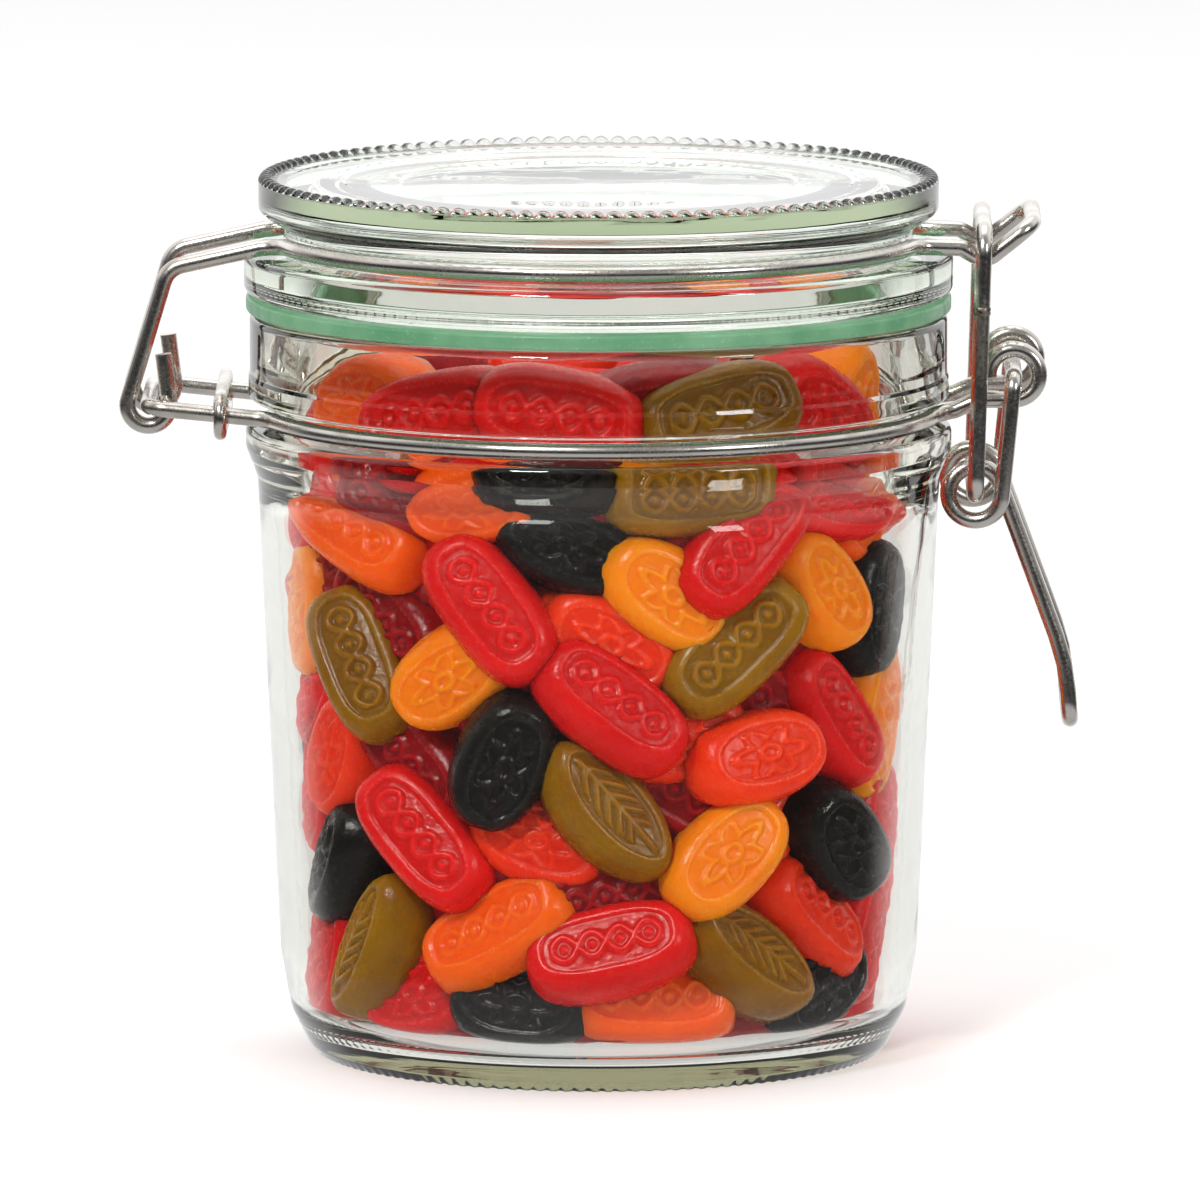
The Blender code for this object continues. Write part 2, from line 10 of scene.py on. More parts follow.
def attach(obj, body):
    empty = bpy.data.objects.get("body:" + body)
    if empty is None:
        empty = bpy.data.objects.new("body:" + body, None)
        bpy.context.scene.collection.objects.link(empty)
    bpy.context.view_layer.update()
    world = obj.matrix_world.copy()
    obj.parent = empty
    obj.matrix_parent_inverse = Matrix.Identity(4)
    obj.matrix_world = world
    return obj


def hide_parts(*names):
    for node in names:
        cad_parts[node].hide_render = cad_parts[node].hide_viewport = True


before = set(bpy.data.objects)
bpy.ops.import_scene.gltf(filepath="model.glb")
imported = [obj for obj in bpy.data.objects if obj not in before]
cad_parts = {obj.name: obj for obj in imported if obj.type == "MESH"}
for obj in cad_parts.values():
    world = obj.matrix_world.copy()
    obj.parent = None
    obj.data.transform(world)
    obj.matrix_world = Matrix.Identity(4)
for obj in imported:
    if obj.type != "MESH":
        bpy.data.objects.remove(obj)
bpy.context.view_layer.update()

MM = 0.001
GAP = 0.3 * MM

# Jar
RIM_TOP = 106.5 * MM
RIM_RADIUS = 49.9 * MM
RIM_BOTTOM = 98.0 * MM
SHOULDER_RADIUS = 50.1 * MM
NECK_WIRE_HEIGHT = 92.4 * MM
BEAD_RADIUS = 50.5 * MM
BEAD_HEIGHT = 88.6 * MM
BODY_TOP = 82.0 * MM
BODY_TOP_RADIUS = 48.8 * MM
BODY_FOOT = 15.0 * MM
BODY_FOOT_RADIUS = 45.7 * MM
FOOT_RADIUS = 40.5 * MM
FOOT_WIDTH = 3.0 * MM
WALL = 2.8 * MM
FLOOR = 4.0 * MM
FLOOR_BEND = 5.0 * MM
NECK_INNER_RADIUS = 43.8 * MM
NECK_INNER_FOOT = 90.0 * MM
JAR_SIDES = 520

# Slanted dashes moulded in the ring that the jar stands on
DASHES = 130
DASH_SLANT = 14                   # turn in radians for each metre outwards
DASH_RISE = 0.16 * MM
DASH_ZONE = (37 * MM, 42.5 * MM)
DASH_TOP = 0.7 * MM

# Gasket
GASKET_TOP = 109.0 * MM
GASKET_RADIUS = 50.4 * MM
GASKET_INNER_RADIUS = 44.2 * MM
GASKET_SIDES = 192

# Lid
LID_TOP = 126.3 * MM
LID_EDGE_RADIUS = 48.6 * MM
LID_EDGE_FOOT = 121.2 * MM
LID_WIRE_HEIGHT = 117.2 * MM
LID_FLANGE_RADIUS = 50.7 * MM
LID_FLANGE_TOP = 115.2 * MM
LID_INNER_RADIUS = 41.0 * MM
LID_RECESS = 1.1 * MM             # depth of the top's middle below the beads
LID_PLATE = 2.6 * MM              # thickness of the top at its edge
LENS_RADIUS = 33.0 * MM           # from here inwards the top is thicker
LENS_DEPTH = 1.6 * MM
LID_BEADS = 120
BEAD_FOOT = LID_TOP - 0.9 * MM    # height of the edge that the beads stand on
BEAD_BASE = BEAD_FOOT + 0.02 * MM
BEAD_RING = 47.5 * MM
BEAD_SIZE = 1.08 * MM
BEAD_SHARES = (-1, -0.87, -0.7, -0.5, -0.25, 0, 0.25, 0.5, 0.7, 0.87, 1)
LID_SIDES = 6 * LID_BEADS

# Wires
WIRE = 2.4 * MM
CLIP_WIRE = 1.9 * MM
BEND_STEP = math.radians(9)       # turn between two points of a wire's bend
PROFILE_STEP = math.radians(11)   # the same in a turned piece's profile
RING_STEP = math.radians(3)
LEAVE_BEND = 4.0 * MM             # reverse bend from a ring into its leg
LEAVE_STEPS = 9
LID_RING_RADIUS = 46.5 * MM
NECK_RING_RADIUS = 48.6 * MM

HINGE = Vector((-64.0 * MM, 0, 94.3 * MM))
HOOK_RADIUS = 3.0 * MM
HOOK_END = Vector((-61.9 * MM, 0, 101.6 * MM))
LEG_CORNER = Vector((-61.2 * MM, 0, 113.9 * MM))
LID_WIRE_Y = 11.6 * MM
PRONG_Y = 14.6 * MM
CLIP_X = -53.7 * MM

LEVER_PIVOT = Vector((59.2 * MM, 0, 98.5 * MM))
LINK_PIVOT = Vector((53.7 * MM, 0, 81.6 * MM))
LINK_TOP = Vector((54.9 * MM, 0, 119.7 * MM))
NOTCH = Vector((54.9 * MM, 0, 115.6 * MM))
NOTCH_WIDTH = 2.0 * MM
NOSE_TIP = Vector((61.9 * MM, 0, 120.4 * MM))
EYE_RADIUS = 3.6 * MM
EYE_Y = 9.6 * MM
COIL_RADIUS = 3.8 * MM
LEVER_Y = 12.4 * MM
HANDLE_Y = 9.6 * MM
HANDLE_KNEE = Vector((66.8 * MM, 0, 57.0 * MM))
HANDLE_END = Vector((67.4 * MM, 0, 48.6 * MM))
LINK_Y = 15.2 * MM
WELD_HEIGHT = 108.4 * MM
WELD_THICKER = 0.24 * MM
# Along the weld: distance from its middle in mm, and share of its thickness
WELD_PROFILE = ((-0.7, 0.9), (-0.5, 1.0), (-0.1, 0.95), (0.3, 1.0), (0.5, 0.9))

# Wine gums
GUM_SIZES = {"bar": (24.2 * MM, 13.2 * MM), "oval": (21.2 * MM, 13.8 * MM),
             "lens": (24.6 * MM, 13.4 * MM)}
CELLS = {"front": (66, 32), "back": (30, 14), "gap": (8, 4)}    # on a gum's moulded face
GLASS_GAP = 0.5 * MM
CORE_RADIUS = 33.0 * MM
CORE_TOP = 88.0 * MM
FILL_TOP = 103.0 * MM
TOP_COUNT = 10                    # gums lying on top
TOP_REACH = 31.0 * MM
TOP_SPIRAL = math.radians(137.5)
SEED = 11

# Rows of gums round the back of the glass, with bearings in degrees
BACK_ROWS = 8
BACK_FOOT = 9.0 * MM
BACK_RISE = 80.0 * MM
BACK_COLUMNS = 5
BACK_START = 95
BACK_ARC = 170
BACK_SLOPES = (-50, -35, -15, 0, 10, 20, 40, 60)

# A layer behind the first closes the gaps between its gums.
GAP_ROWS = 11
GAP_COLUMNS = 17
GAP_FOOT = 9                      # mm, as its rise and depths
GAP_RISE = 76
GAP_DEPTHS = (7.5, 10.5)
GAP_SLOPE = 1.4
GAP_LEAN = 0.3

# The gums at the front: shape, bearing in degrees from the front towards the right, height in
# mm, slope in degrees, distance behind the glass in mm, roll in degrees, and colour.
FRONT_GUMS = [
    ("oval", -60, 95, 5, 2, -10, "orange"), ("bar", -35, 95, 12, 0.5, -15, "red"),
    ("bar", -8, 96, -10, 1, -10, "red"), ("bar", 16, 98, 5, 4, 0, "crimson"),
    ("bar", 26, 96, 12, 0, -20, "olive"), ("oval", 55, 95, -30, 2, 0, "red"),
    ("oval", 74, 94, 60, 3, 0, "amber"), ("bar", -49, 85, -15, 3, -10, "crimson"),
    ("oval", -28, 84, 10, 4, 0, "orange"), ("oval", -11, 90, 0, 2, -10, "black"),
    ("bar", -2, 85, -10, 8, 0, "red"), ("bar", 21, 86, 2, 1.5, -10, "olive"),
    ("bar", 60, 83, -12, 2, -10, "red"), ("oval", 74, 82, 60, 1, 0, "orange"),
    ("bar", -60, 78, -24, 0, -25, "orange"), ("oval", -7, 78, -25, 5, -12, "black"),
    ("bar", -22, 69, -52, 0, -18, "red"), ("oval", 15, 71, -40, 4, -5, "amber"),
    ("bar", 31, 78, 48, 0, -18, "red"), ("oval", 54, 70, -48, 2, -10, "amber"),
    ("bar", 30, 63, 43, 0, -20, "olive"), ("oval", 74, 66, 80, 1, 0, "black"),
    ("bar", -72, 71, -25, 3, -10, "crimson"), ("bar", -55, 66, -35, 5, 0, "crimson"),
    ("bar", -58, 59, -58, 0, -32, "olive"), ("oval", -32, 59, 35, 2, 10, "amber"),
    ("bar", 3, 55, -38, 0, -30, "red"), ("oval", 3, 64, -30, 6, 0, "scarlet"),
    ("oval", -20, 47, 68, 0, 22, "black"), ("lens", 2, 40, -50, 1.5, -28, "olive"),
    ("oval", -14, 35, -20, 5.5, -10, "scarlet"), ("oval", 35, 47, 8, 0, -15, "scarlet"),
    ("bar", 61, 51, -52, 1.5, -10, "red"), ("bar", 77, 49, 85, 1, 0, "amber"),
    ("oval", 28, 33, 42, 0, -15, "amber"), ("oval", 62, 33, -48, 0, 10, "black"),
    ("bar", 59, 22, -38, 3, -20, "scarlet"), ("bar", -40, 35, -45, 0, -20, "red"),
    ("oval", -70, 45, 60, 1.5, 0, "scarlet"), ("oval", -72, 29, 55, 1, -20, "black"),
    ("lens", -58, 18, 60, 1.5, -25, "olive"), ("bar", -23, 22, 30, 2.5, -25, "orange"),
    ("bar", 3, 20, 13, 0, -28, "red"), ("lens", 35, 18, -38, 1.5, -28, "olive"),
    ("oval", -19, 10, -5, 4.5, -10, "black"), ("bar", 14, 10, -2, 4.5, -25, "orange"),
    ("oval", -48, 9, 10, 4, -10, "red"), ("oval", 63, 9, 22, 3, 0, "black"),
    ("bar", -82, 55, 60, 0.5, 0, "red"), ("bar", -84, 40, 75, 0.5, 0, "red"),
    ("oval", -80, 16, 80, 0.5, 0, "red"), ("oval", -84, 65, 85, 0, 0, "amber"),
    ("bar", -84, 83, 70, 0.5, 0, "red"), ("oval", 80, 34, 80, 0.5, 0, "red"),
    ("bar", 82, 20, 70, 0.5, 0, "red"), ("bar", 76, 10, 30, 2, 0, "scarlet"),
    ("bar", -47, 46, -40, 5, 0, "crimson"), ("bar", -16, 57, 30, 6, 0, "crimson"),
    ("bar", 21, 42, -30, 6, 0, "crimson"), ("bar", 5, 28, 15, 6, 0, "crimson"),
    ("bar", 42, 54, -40, 6, 0, "crimson"), ("bar", 56, 37, 40, 6, 0, "scarlet"),
    ("oval", 19, 50, 10, 5, 0, "scarlet"),
]
FACE_SHARE = 0.8                  # how far the gums at the sides turn with the glass

# A power below 1 squares off a gum's outline along or across it, and one above 1 points it.
OUTLINE_POWERS = {"bar": (0.74, 0.7), "oval": (0.92, 0.82), "lens": (1, 1.12)}

# A gum's relief, in mm. Its side: (inset from the outline, height), from the moulded face down
SIDE_PROFILE = [(2.3, 4.15), (1.6, 3.8), (0.9, 2.9), (0.35, 1.4), (0.0, -1.0), (0.4, -3.5),
                (1.9, -4.68)]
PANEL_INSET = 2.65
PANEL_HEIGHT = 3.85
RIM_WIDTH = 0.55
RIM_HEIGHT = 0.35
DOME_HEIGHT = 0.35
MOTIF_HEIGHT = 0.5
MOTIF_INSET = 0.9
MOTIF_FADE = 0.3
RIDGE_SIDE = 0.35
WEAR_FOOT = 3.9
WEAR_FADE = 0.6

# The moulded patterns, in mm: a braid on the bars, a flower on the ovals, a leaf on the lenses
BRAID_REACH = 8.0
BRAID_LOOP = 4
BRAID_WIDTH = 1.8
BRAID_DOTS = (-6, -2, 2, 6)
FLOWER_STRETCH = 1.4
FLOWER_RADIUS = 4.4
PETAL_RISE = 1.3
FLOWER_RING = 1.5
RIB_REACH = 8.5
VEIN_SLOPE = 0.8
VEIN_STARTS = (-7.0, -4.6, -2.2, 0.2, 2.6)

GAP_COLOURS = ("red", "crimson", "crimson", "scarlet")
HIDDEN_COLOURS = ("red", "red", "crimson", "scarlet", "orange", "amber", "olive", "black")

# Of each kind: colour, a deeper colour for its cloudy tone and its painted hollow shade, colour
# of its scuffs, and how much they show
GUM_LOOKS = {
    "red": ((0.76, 0.010, 0.009), (0.58, 0.004, 0.004), (0.95, 0.42, 0.40), 0.8),
    "crimson": ((0.38, 0.004, 0.008), (0.20, 0.002, 0.004), (0.85, 0.30, 0.32), 0.8),
    "scarlet": ((0.90, 0.052, 0.006), (0.74, 0.022, 0.004), (1.0, 0.50, 0.38), 1.0),
    "orange": ((0.98, 0.150, 0.004), (0.88, 0.085, 0.003), (1.0, 0.62, 0.36), 1.0),
    "amber": ((0.98, 0.290, 0.003), (0.90, 0.190, 0.002), (1.0, 0.76, 0.42), 1.0),
    "olive": ((0.310, 0.150, 0.001), (0.190, 0.065, 0.001), (0.70, 0.66, 0.42), 0.7),
    "black": ((0.009, 0.008, 0.007), (0.005, 0.004, 0.004), (0.16, 0.16, 0.16), 0.8),
}

# Studio: the lamps' names, places and sizes in metres, and powers in watts
TARGET = Vector((0.2 * MM, 0, 64.7 * MM))
LAMPS = (("key", (-0.7, -1.5, 1.5), 0.4, 28), ("fill", (1.3, -1.2, 0.8), 0.4, 8),
         ("top", (0.0, 0.3, 1.9), 1.4, 8))
FLOOR_REACH = 9.0
AZIMUTH = math.radians(0.4)
ELEVATION = math.radians(7.9)
CAMERA_DISTANCE = 2.5
SENSOR = 36.0                     # mm
PICTURE = 1200                    # the photograph's width in pixels
FOCAL_PIXELS = 17453              # the lens, in the photograph's pixels


# ---------------------------------------------------------------- nodes

def material(name):
    """A new node material, its tree and its Principled shader."""
    made = bpy.data.materials.new(name)
    made.use_nodes = True
    return made, made.node_tree, made.node_tree.nodes["Principled BSDF"]


def node(tree, kind, **values):
    """A node with its properties and unlinked inputs set by name."""
    made = tree.nodes.new(kind)
    for name, value in values.items():
        if name in made.inputs:
            made.inputs[name].default_value = value
        else:
            setattr(made, name, value)
    return made


def link(tree, source, target):
    """Joins a node's output to a node's input."""
    tree.links.new(source, target)


def object_place(tree):
    """The place on the object, in metres."""
    return node(tree, "ShaderNodeTexCoord").outputs["Object"]


def noise(tree, place, scale, detail=3.0, stretch=None):
    """Value of a noise texture at a place in metres; scale is in features per metre."""
    if stretch:
        mapping = node(tree, "ShaderNodeMapping")
        mapping.inputs["Scale"].default_value = stretch
        link(tree, place, mapping.inputs["Vector"])
        place = mapping.outputs["Vector"]
    texture = node(tree, "ShaderNodeTexNoise", Scale=scale, Detail=detail)
    link(tree, place, texture.inputs["Vector"])
    return texture.outputs["Fac"]


def ramp(tree, value, low, high, bottom=0.0, top=1.0):
    """A value carried from the range low..high to bottom..top, with no overshoot."""
    made = node(tree, "ShaderNodeMapRange")
    made.interpolation_type = "SMOOTHSTEP"
    for name, number in (("From Min", low), ("From Max", high),
                         ("To Min", bottom), ("To Max", top)):
        made.inputs[name].default_value = number
    link(tree, value, made.inputs["Value"])
    return made.outputs["Result"]


def math_node(tree, operation, first, second):
    """One operation on two values, each a number or a node's output."""
    made = node(tree, "ShaderNodeMath", operation=operation)
    for k, value in enumerate((first, second)):
        if isinstance(value, (int, float)):
            made.inputs[k].default_value = value
        else:
            link(tree, value, made.inputs[k])
    return made.outputs[0]


def blend_colours(tree, factor, first, second):
    """From one colour to another, each a tuple or a node's output."""
    made = node(tree, "ShaderNodeMix", data_type="RGBA")
    sockets = [s for s in made.inputs if s.type == "RGBA"]
    link(tree, factor, made.inputs[0])
    for socket, value in zip(sockets, (first, second)):
        if isinstance(value, tuple):
            socket.default_value = (*value, 1.0)
        else:
            link(tree, value, socket)
    return [s for s in made.outputs if s.type == "RGBA"][0]


def bump(tree, shader, height, distance, strength, under=None):
    """Fine relief on a shader, over the relief under it; gives the new normal."""
    made = node(tree, "ShaderNodeBump", Strength=strength, Distance=distance)
    link(tree, height, made.inputs["Height"])
    if under:
        link(tree, under, made.inputs["Normal"])
    link(tree, made.outputs["Normal"], shader.inputs["Normal"])
    return made.outputs["Normal"]


def glass(name, tint, absorb, density):
    """Clear glass with a colour in its depth, and faint waves and dust on its surface."""
    made, tree, shader = material(name)
    shader.inputs["Base Color"].default_value = (*tint, 1.0)
    shader.inputs["Transmission Weight"].default_value = 1.0
    shader.inputs["IOR"].default_value = 1.5
    place = object_place(tree)
    link(tree, ramp(tree, noise(tree, place, 260, 5), 0.55, 0.8, 0.0, 0.03),
         shader.inputs["Roughness"])
    bump(tree, shader, noise(tree, place, 55, 2, (1, 1, 2.5)), 0.25 * MM, 0.35)
    clear = node(tree, "ShaderNodeBsdfTransparent")
    clear.inputs["Color"].default_value = (*tint, 1.0)
    path = node(tree, "ShaderNodeLightPath")
    open_to = math_node(tree, "MAXIMUM", path.outputs["Is Shadow Ray"],
                        path.outputs["Is Diffuse Ray"])
    mix = node(tree, "ShaderNodeMixShader")
    link(tree, open_to, mix.inputs[0])
    link(tree, shader.outputs["BSDF"], mix.inputs[1])
    link(tree, clear.outputs["BSDF"], mix.inputs[2])
    output = tree.nodes["Material Output"]
    link(tree, mix.outputs["Shader"], output.inputs["Surface"])
    volume = node(tree, "ShaderNodeVolumeAbsorption")
    volume.inputs["Color"].default_value = (*absorb, 1.0)
    volume.inputs["Density"].default_value = density
    link(tree, volume.outputs["Volume"], output.inputs["Volume"])
    return made


def rubber():
    """Mint green rubber with a satin face, mottled a little, with moulding dust."""
    made, tree, shader = material("gasket_rubber")
    place = object_place(tree)
    mottled = blend_colours(tree, ramp(tree, noise(tree, place, 120, 4), 0.35, 0.7),
                            (0.085, 0.255, 0.125), (0.15, 0.335, 0.185))
    dusty = blend_colours(tree, ramp(tree, noise(tree, place, 1900, 4), 0.6, 0.78, 0.0, 0.6),
                          mottled, (0.34, 0.60, 0.42))
    link(tree, dusty, shader.inputs["Base Color"])
    link(tree, ramp(tree, noise(tree, place, 500), 0.3, 0.7, 0.32, 0.5),
         shader.inputs["Roughness"])
    shader.inputs["Subsurface Weight"].default_value = 0.15
    shader.inputs["Subsurface Radius"].default_value = (0.4, 1.0, 0.7)
    shader.inputs["Subsurface Scale"].default_value = 1.0 * MM
    bump(tree, shader, noise(tree, place, 2500), 0.03 * MM, 0.5)
    return made


def steel():
    """Drawn stainless wire: bright, with fine lines and a few duller patches."""
    made, tree, shader = material("steel_wire")
    shader.inputs["Metallic"].default_value = 1.0
    place = object_place(tree)
    patches = ramp(tree, noise(tree, place, 160, 4), 0.4, 0.75)
    link(tree, blend_colours(tree, patches, (0.66, 0.63, 0.59), (0.52, 0.48, 0.43)),
         shader.inputs["Base Color"])
    fine = noise(tree, place, 2600, 2)
    link(tree, math_node(tree, "ADD", ramp(tree, fine, 0.3, 0.7, 0.18, 0.26),
                         math_node(tree, "MULTIPLY", patches, 0.1)),
         shader.inputs["Roughness"])
    bump(tree, shader, noise(tree, place, 500, 3), 0.02 * MM, 0.2)
    return made


def weld_steel():
    """Steel darkened by the heat of the butt weld."""
    made, tree, shader = material("weld_steel")
    shader.inputs["Metallic"].default_value = 1.0
    place = object_place(tree)
    link(tree, blend_colours(tree, ramp(tree, noise(tree, place, 900, 4), 0.35, 0.65),
                             (0.10, 0.08, 0.07), (0.33, 0.29, 0.25)),
         shader.inputs["Base Color"])
    link(tree, ramp(tree, noise(tree, place, 1800), 0.3, 0.7, 0.3, 0.55),
         shader.inputs["Roughness"])
    bump(tree, shader, noise(tree, place, 2200), 0.05 * MM, 0.7)
    return made


def gum_material(name, colour, deep_and_shade, pale, frost):
    """Wine gum: waxy and translucent, with painted shade in its hollows and fine scuffs at its
    edges.
    """
    made, tree, shader = material(name)
    place = object_place(tree)
    tone = node(tree, "ShaderNodeAttribute", attribute_name="tone").outputs["Fac"]
    edge = node(tree, "ShaderNodeAttribute", attribute_name="edge").outputs["Fac"]
    painted_hollow_shade = node(tree, "ShaderNodeAttribute", attribute_name="painted_hollow_shade").outputs["Fac"]
    cloudy = math_node(tree, "ADD", ramp(tree, noise(tree, place, 110, 4), 0.35, 0.7, 0.0, 0.5),
                       math_node(tree, "MULTIPLY", tone, 0.4))
    body = blend_colours(tree, cloudy, colour, deep_and_shade)
    # Painted shade: the moulded face between its rim and pattern is darkened towards the deeper
    # colour.
    body = blend_colours(tree, math_node(tree, "MULTIPLY", painted_hollow_shade, 0.45), body, deep_and_shade)
    broken = ramp(tree, noise(tree, place, 2400, 5), 0.45, 0.65)
    worn = math_node(tree, "MULTIPLY", math_node(tree, "POWER", edge, 2.0), broken)
    specks = ramp(tree, noise(tree, place, 3000, 4), 0.6, 0.72)
    scuffs = math_node(tree, "ADD", math_node(tree, "MULTIPLY", worn, 0.2),
                       math_node(tree, "MULTIPLY", specks, 0.1))
    scuffs = math_node(tree, "MULTIPLY", scuffs, frost)
    link(tree, blend_colours(tree, scuffs, body, pale), shader.inputs["Base Color"])
    link(tree, ramp(tree, noise(tree, place, 900, 4), 0.3, 0.7, 0.14, 0.3),
         shader.inputs["Roughness"])
    shader.inputs["Specular IOR Level"].default_value = 0.22
    shader.inputs["Subsurface Weight"].default_value = 0.9
    shader.inputs["Subsurface Radius"].default_value = tuple(
        0.12 + 0.88 * c / max(colour) for c in colour)
    shader.inputs["Subsurface Scale"].default_value = 2.5 * MM
    waxy = bump(tree, shader, noise(tree, place, 260, 4), 0.4 * MM, 0.7)
    bump(tree, shader, noise(tree, place, 1500, 5), 0.09 * MM, 0.8, waxy)
    return made


# ---------------------------------------------------------------- routes, as the solids have them

def bend(corners, closed=False, step=BEND_STEP):
    """Points along straight runs whose corners, given as (place, bend radius), are arcs."""
    count = len(corners)
    points = []
    for i, (corner, radius) in enumerate(corners):
        is_end = not closed and i in (0, count - 1)
        if is_end or radius == 0:
            points.append(corner)
            continue
        back = (corners[i - 1][0] - corner).normalized()
        ahead = (corners[(i + 1) % count][0] - corner).normalized()
        turn = math.pi - back.angle(ahead)
        if turn < 1e-3:
            points.append(corner)
            continue
        centre = corner + (back + ahead).normalized() * radius / math.cos(turn / 2)
        start = (corner + back * radius * math.tan(turn / 2) - centre).normalized()
        end = (corner + ahead * radius * math.tan(turn / 2) - centre).normalized()
        steps = max(2, round(turn / step))
        points += [centre + start.slerp(end, k / steps) * radius for k in range(steps + 1)]
    return points


def side_arc(centre, radius, first, last, y_first, y_last=None):
    """Points of an arc seen from the front, which may shift along Y on its way."""
    y_last = y_first if y_last is None else y_last
    steps = max(1, round(math.radians(abs(last - first)) / BEND_STEP))
    points = []
    for k in range(steps + 1):
        share = k / steps
        angle = math.radians(first + (last - first) * share)
        points.append(Vector((centre.x + radius * math.cos(angle),
                              y_first + (y_last - y_first) * share,
                              centre.z + radius * math.sin(angle))))
    return points


def front_half_ring(radius, height, left, right):
    """The front half of a ring, from its left leg round to its right leg."""
    ends = []
    for side, (leg_y, rise) in ((-1, left), (1, right)):
        centre_y = leg_y + LEAVE_BEND
        centre_x = math.sqrt((radius + LEAVE_BEND) ** 2 - centre_y ** 2)
        off_axis = math.degrees(math.atan2(centre_y, centre_x))
        arc = []
        for k in range(LEAVE_STEPS + 1):
            share = k / LEAVE_STEPS
            angle = math.radians(90 + (90 - off_axis) * share)
            arc.append(Vector((side * (centre_x + LEAVE_BEND * math.cos(angle)),
                               LEAVE_BEND * math.sin(angle) - centre_y,
                               height + rise * (1 - share))))
        ends.append((off_axis, arc))
    (off_left, left_arc), (off_right, right_arc) = ends
    first = math.radians(180 + off_left)
    last = math.radians(360 - off_right)
    steps = round((last - first) / RING_STEP)
    ring = []
    for k in range(1, steps):
        angle = first + (last - first) * k / steps
        ring.append(Vector((radius * math.cos(angle), radius * math.sin(angle), height)))
    return left_arc + ring + right_arc[::-1]


def at_y(place, y):
    """A place moved to another Y."""
    return Vector((place.x, y, place.z))


def mirrored(points):
    """The same points behind the XZ plane, in reverse order."""
    return [Vector((p.x, -p.y, p.z)) for p in reversed(points)]


def tangent_angle(centre, radius, place, side):
    """Angle on a circle, in degrees, of the tangent that runs to a place."""
    way = place - centre
    swing = math.degrees(math.acos(radius / math.hypot(way.x, way.z)))
    return math.degrees(math.atan2(way.z, way.x)) + side * swing


def add_piece(name, data, look, body, slot, *nodes):
    """Links a piece, gives it its look, ties it to its body and hides the imported parts of its
    nodes; slot is not used.
    """
    piece = bpy.data.objects.new(name, data)
    bpy.context.scene.collection.objects.link(piece)
    data.materials.append(look)
    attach(piece, body)
    if nodes:
        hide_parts(*nodes)


def wire_curve(name, points, diameter, closed=False):
    """A round wire of straight pieces through the points."""
    curve = bpy.data.curves.new(name, "CURVE")
    curve.dimensions = "3D"
    curve.bevel_depth = diameter / 2
    curve.bevel_resolution = 5
    curve.resolution_u = 1
    curve.use_fill_caps = not closed
    spline = curve.splines.new("POLY")
    spline.points.add(len(points) - 1)
    for point, place in zip(spline.points, points):
        point.co = (*place, 1.0)
    spline.use_cyclic_u = closed
    spline.use_smooth = True
    return curve


# ---------------------------------------------------------------- turned pieces

def turned_mesh(name, corners, sides, closed=False, relief=None):
    """A turned mesh from (radius, height, bend radius) corners, down its outer side.

    relief moves a point, given its radius, height and angle, and gives its new radius and
    height.
    """
    profile = bend([(Vector((r, 0, z)), b) for r, z, b in corners], closed, PROFILE_STEP)
    places, rings = [], []
    for point in profile:
        if point.x < 1e-7:
            rings.append([len(places)] * sides)
            places.append((0, 0, point.z))
            continue
        first = len(places)
        rings.append([first + k for k in range(sides)])
        for k in range(sides):
            angle = 2 * math.pi * k / sides
            radius, height = point.x, point.z
            if relief:
                radius, height = relief(radius, height, angle)
            places.append((radius * math.cos(angle), radius * math.sin(angle), height))
    faces = []
    for i in range(len(rings) if closed else len(rings) - 1):
        upper, lower = rings[i], rings[(i + 1) % len(rings)]
        for k in range(sides):
            corner = (upper[k], lower[k], lower[(k + 1) % sides], upper[(k + 1) % sides])
            faces.append(tuple(dict.fromkeys(corner)))
    mesh = bpy.data.meshes.new(name)
    mesh.from_pydata(places, [], faces)
    shape = bmesh.new()
    shape.from_mesh(mesh)
    bmesh.ops.recalc_face_normals(shape, faces=shape.faces)
    shape.to_mesh(mesh)
    shape.free()
    mesh.shade_smooth()
    return mesh


def jar_relief(radius, height, angle):
    """Slanted dashes moulded in the ring that the jar stands on."""
    if height < DASH_TOP and DASH_ZONE[0] < radius < DASH_ZONE[1]:
        outwards = radius - (FOOT_RADIUS - FOOT_WIDTH / 2)
        turn = DASHES * (angle + outwards * DASH_SLANT)
        height += DASH_RISE * (0.5 + 0.5 * math.sin(turn))
    return radius, height


def lid_relief(radius, height, angle):
    """A row of small round beads moulded on the top edge of the lid."""
    if height < (BEAD_FOOT + BEAD_BASE) / 2 or radius < BEAD_RING - BEAD_SIZE:
        return radius, height
    turn = (angle * LID_BEADS / (2 * math.pi) + 0.5) % 1.0 - 0.5
    sideways = turn * 2 * math.pi / LID_BEADS * BEAD_RING
    rise = BEAD_SIZE ** 2 - sideways ** 2 - (radius - BEAD_RING) ** 2
    lift = math.sqrt(max(0.0, rise)) / BEAD_SIZE
    return radius, BEAD_BASE + (LID_TOP - BEAD_BASE) * lift


